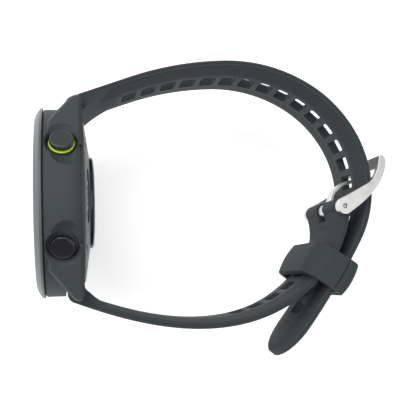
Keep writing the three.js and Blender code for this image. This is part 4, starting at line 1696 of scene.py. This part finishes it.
@dataclass
class Keeper:
    """The loose loop that holds the tail down, in millimetres.

    It is modelled with X out of the tail, Y along it and Z across it.
    """

    tail_line: StrapLine
    at: float = 117.0
    inner: float = -7.88
    outer: float = 0.45
    inner_wall: float = 1.6
    outer_wall: float = 1.75
    half: float = 11.45
    side_wall: float = 1.6
    length: float = 8.5
    corner: float = 2.4
    inner_corner: float = 4.6
    bulge: float = 0.08
    groove_at: float = -1.1

    def build(self) -> None:
        """Builds the keeper and dresses it."""
        reach = self.length / 2
        low, high = self.inner - self.inner_wall, self.outer + self.outer_wall
        wide = self.half + self.side_wall
        keeper = add_block((low, -reach, -wide), (high, reach, wide))
        with editing(keeper):
            self._round_corners(self.inner_corner, self.corner)
            for share in (-0.66, -0.33, 0.0, 0.33, 0.66):
                bpy.ops.mesh.select_all(action="SELECT")
                bpy.ops.mesh.bisect(plane_co=(0, share * reach, 0), plane_no=(0, 1, 0))
        hole = add_block(
            (self.inner, -self.length, -self.half), (self.outer, self.length, self.half)
        )
        with editing(hole):
            self._round_corners(self.inner_corner - self.side_wall, 0.8)
        carve(keeper, hole)
        for side in (1, -1):
            near, far = sorted((side * (wide - 0.28), side * (wide + 1)))
            tool = add_block(
                (self.groove_at, -reach * 0.9, near), (self.groove_at + 0.3, reach + 1, far)
            )
            carve(keeper, tool)
        tidy_mesh(keeper)
        soften(keeper, 0.72, 4, 40)
        reshape(keeper, self._swell)
        tidy_mesh(keeper)
        smooth(keeper, 40)
        place, heading = self.tail_line.station(self.at)
        turn = Matrix.Rotation(heading + math.pi / 2, 4, "Z")
        move_by(keeper, Matrix.Translation(place) @ turn)
        hand_over(keeper, "keeper_loop", "keeper", SILICONE, ["strap_keeper"])

    def _round_corners(self, inner: float, outer: float) -> None:
        """Rounds a block's long edges, on the wrist side and on the outside."""
        for way, radius in ((-1, inner), (1, outer)):
            pick(
                Part.EDGE,
                lambda middle, run: abs(run.y) > self.length * 0.9
                and abs(middle.z) > self.half - HAIR
                and middle.x * way > (self.inner if way < 0 else self.outer) * way - HAIR,
            )
            bpy.ops.mesh.bevel(offset=radius, segments=10)

    def _swell(self, places: np.ndarray) -> np.ndarray:
        """Makes the loop a little fuller at the middle of its length.

        Args:
            places: Its vertices.

        Returns:
            Their new places.
        """
        share = 1 + self.bulge * (1 - (places[:, 1] / (self.length / 2)) ** 2)
        middle = (self.inner + self.outer) / 2
        swollen = places.copy()
        swollen[:, 0] = middle + (places[:, 0] - middle) * share
        swollen[:, 2] = places[:, 2] * (1 + (share - 1) / 3)
        return swollen


@dataclass
class Buckle:
    """The buckle frame, its bar and its prong, in millimetres.

    They are modelled from the pivot, with X out of the tail and Y up it.
    """

    tail_line: StrapLine
    buckled_at: float = 90.0
    eye: float = 2.05
    eye_top: float = 115.0
    outer_knee: tuple[float, float] = (1.4, -1.5)
    outer_bend: tuple[float, float] = (11.0, 3.4)
    outer_tip: tuple[float, float] = (12.2, 10.0)
    crown: tuple[float, float] = (12.2, 12.0)
    inner_tip: tuple[float, float] = (10.6, 11.6)
    inner_bend: tuple[float, float] = (10.0, 7.3)
    inner_knee: tuple[float, float] = (7.2, 5.2)
    inside: float = 11.35
    outside: float = 13.05
    end_bar: float = 8.5
    pin_hole: float = 0.53
    edge: float = 0.38
    bar_radius: float = 0.75
    prong_line: Sequence[tuple[float, float]] = (
        (0.5, 1.1),
        (2.2, 4.6),
        (5.25, 6.5),
        (7.55, 6.9),
        (11.3, 7.4),
        (12.9, 8.9),
        (13.15, 10.9),
    )
    prong_thickness: float = 0.9
    prong_width: float = 2.6
    prong_knuckle: float = 1.7
    prong_half: float = 1.9

    def build(self) -> None:
        """Builds the buckle, its bar and its prong and dresses them."""
        _, heading = self.tail_line.station(self.buckled_at)
        turn = Matrix.Rotation(heading + math.pi / 2, 4, "Z")
        self.place = Matrix.Translation(pivot_of("buckle_turn")) @ turn
        self._frame()
        self._bar()
        self._prong()

    def _outline(self) -> list[tuple[float, float]]:
        """Returns the side outline: two curved edges and a round eye."""
        points = self._bend(self.outer_knee, self.outer_bend, self.outer_tip, 20)
        points += self._bend(self.outer_tip, self.crown, self.inner_tip, 8)[1:]
        points += self._bend(self.inner_tip, self.inner_bend, self.inner_knee, 12)[1:]
        start = math.radians(self.eye_top)
        end = math.atan2(self.outer_knee[1], self.outer_knee[0]) + 2 * math.pi
        for step in range(24):
            angle = start + (end - start) * step / 24
            points.append((self.eye * math.cos(angle), self.eye * math.sin(angle)))
        return points

    def _bend(
        self,
        start: tuple[float, float],
        pull: tuple[float, float],
        end: tuple[float, float],
        steps: int,
    ) -> list[tuple[float, float]]:
        """Returns points on a curve between two places that a third one pulls."""
        points = []
        for step in range(steps + 1):
            t = step / steps
            points.append(
                tuple(
                    (1 - t) ** 2 * a + 2 * t * (1 - t) * b + t * t * c
                    for a, b, c in zip(start, pull, end)
                )
            )
        return points

    def _frame(self) -> None:
        """Makes the frame from one plate, hollowed between its arms."""
        body = cut_plate(self._outline(), -self.outside, self.outside)
        low = (-20, -20, -self.inside)
        carve(body, add_block(low, (20, self.end_bar, self.inside)))
        hole = turn_on_lathe([(-20, self.pin_hole), (20, self.pin_hole)], 32)
        move_by(hole, X_AXIS.rotation_difference(Z_AXIS).to_matrix().to_4x4())
        carve(body, hole)
        tidy_mesh(body)
        soften(body, self.edge, 4, 40)
        tidy_mesh(body)
        smooth(body, 40)
        move_by(body, self.place)
        hand_over(body, "buckle_body", "buckle", SATIN_STEEL, ["buckle_frame"])

    def _bar(self) -> None:
        """Turns the bar that the buckle and the prong hang on."""
        bar = turn_on_lathe(
            [
                (-12.85, 0.3),
                (-12.7, 0.45),
                (-11.2, 0.45),
                (-11.15, self.bar_radius),
                (11.15, self.bar_radius),
                (11.2, 0.45),
                (12.7, 0.45),
                (12.85, 0.3),
            ],
            32,
        )
        smooth(bar, 40)
        move_by(bar, self.place @ X_AXIS.rotation_difference(Z_AXIS).to_matrix().to_4x4())
        hand_over(bar, "pivot_bar", "buckle_half", BRUSHED_STEEL, ["buckle_bar"])

    def _prong(self) -> None:
        """Makes the prong: a flat strip laid along its bends, on a round knuckle."""
        line = StrapLine(self._through(self.prong_line), 1.0)
        half = self.prong_thickness / 2
        strip = add_block(
            (0, -half, -self.prong_width / 2), (line.length, half, self.prong_width / 2)
        )
        with editing(strip):
            pick(Part.EDGE, lambda middle, run: abs(run.normalized().x) > 0.9)
            bpy.ops.mesh.bevel(offset=0.2, segments=3)
            least = line.length * 0.9
            pick(Part.EDGE, lambda middle, run: abs(run.x) > least)
            bpy.ops.mesh.subdivide(number_cuts=40)
        reshape(strip, self._narrow_tip)
        reshape(strip, line.lay)
        tidy_mesh(strip)
        knuckle = turn_on_lathe(
            [
                (-self.prong_half, self.prong_knuckle - 0.2),
                (-self.prong_half + 0.2, self.prong_knuckle),
                (self.prong_half - 0.2, self.prong_knuckle),
                (self.prong_half, self.prong_knuckle - 0.2),
            ],
            48,
        )
        bore = turn_on_lathe([(-5, 0.83), (5, 0.83)], 32)
        upright = X_AXIS.rotation_difference(Z_AXIS).to_matrix().to_4x4()
        move_by(knuckle, upright)
        move_by(bore, upright)
        carve(strip, knuckle, "UNION")
        carve(strip, bore)
        tidy_mesh(strip)
        smooth(strip, 40)
        move_by(strip, self.place)
        hand_over(strip, "prong_tongue", "prong", SATIN_STEEL, ["buckle_prong"])

    def _narrow_tip(self, flat: np.ndarray) -> np.ndarray:
        """Draws the prong's last stretch in to a rounded point.

        Args:
            flat: The flat strip's vertices.

        Returns:
            Their new places.
        """
        length = float(flat[:, 0].max())
        into = np.clip((flat[:, 0] - length + 1.6) / 1.6, 0, 1)
        narrowed = flat.copy()
        narrowed[:, 2] *= 1 - 0.45 * into**2
        narrowed[:, 1] *= 1 - 0.4 * into**2
        return narrowed

    def _through(self, points: Sequence[tuple[float, float]]) -> np.ndarray:
        """Returns a smooth line through a few points.

        Args:
            points: The points.

        Returns:
            Close places along the line.
        """
        given = np.array(points)
        ends = np.vstack([2 * given[0] - given[1], given, 2 * given[-1] - given[-2]])
        places = []
        for first, start, end, last in zip(ends, ends[1:], ends[2:], ends[3:]):
            for t in np.linspace(0, 1, 20, endpoint=False):
                places.append(
                    0.5
                    * (
                        2 * start
                        + (end - first) * t
                        + (2 * first - 5 * start + 4 * end - last) * t**2
                        + (3 * start - first - 3 * end + last) * t**3
                    )
                )
        places.append(given[-1])
        return np.array(places)


def dress_carried_over() -> None:
    """Gives every CAD node that stays in place its finish."""
    for finish, names in CARRIED_OVER.items():
        for name in names:
            node = frame["nodes"][name]
            node.data.materials.clear()
            node.data.materials.append(finish.material())
            LOG.info("%s: dressed as %s", name, finish.name)


def main() -> None:
    """Builds the watch and its studio in order."""
    logging.basicConfig(level=logging.INFO)
    Studio().build()
    Case().build()
    Front().build()
    Back().build()
    Buttons().build()
    strap = Strap()
    strap.build()
    Keeper(strap.tail_line).build()
    Buckle(strap.tail_line).build()
    dress_carried_over()


if __name__ == "__main__":
    main()
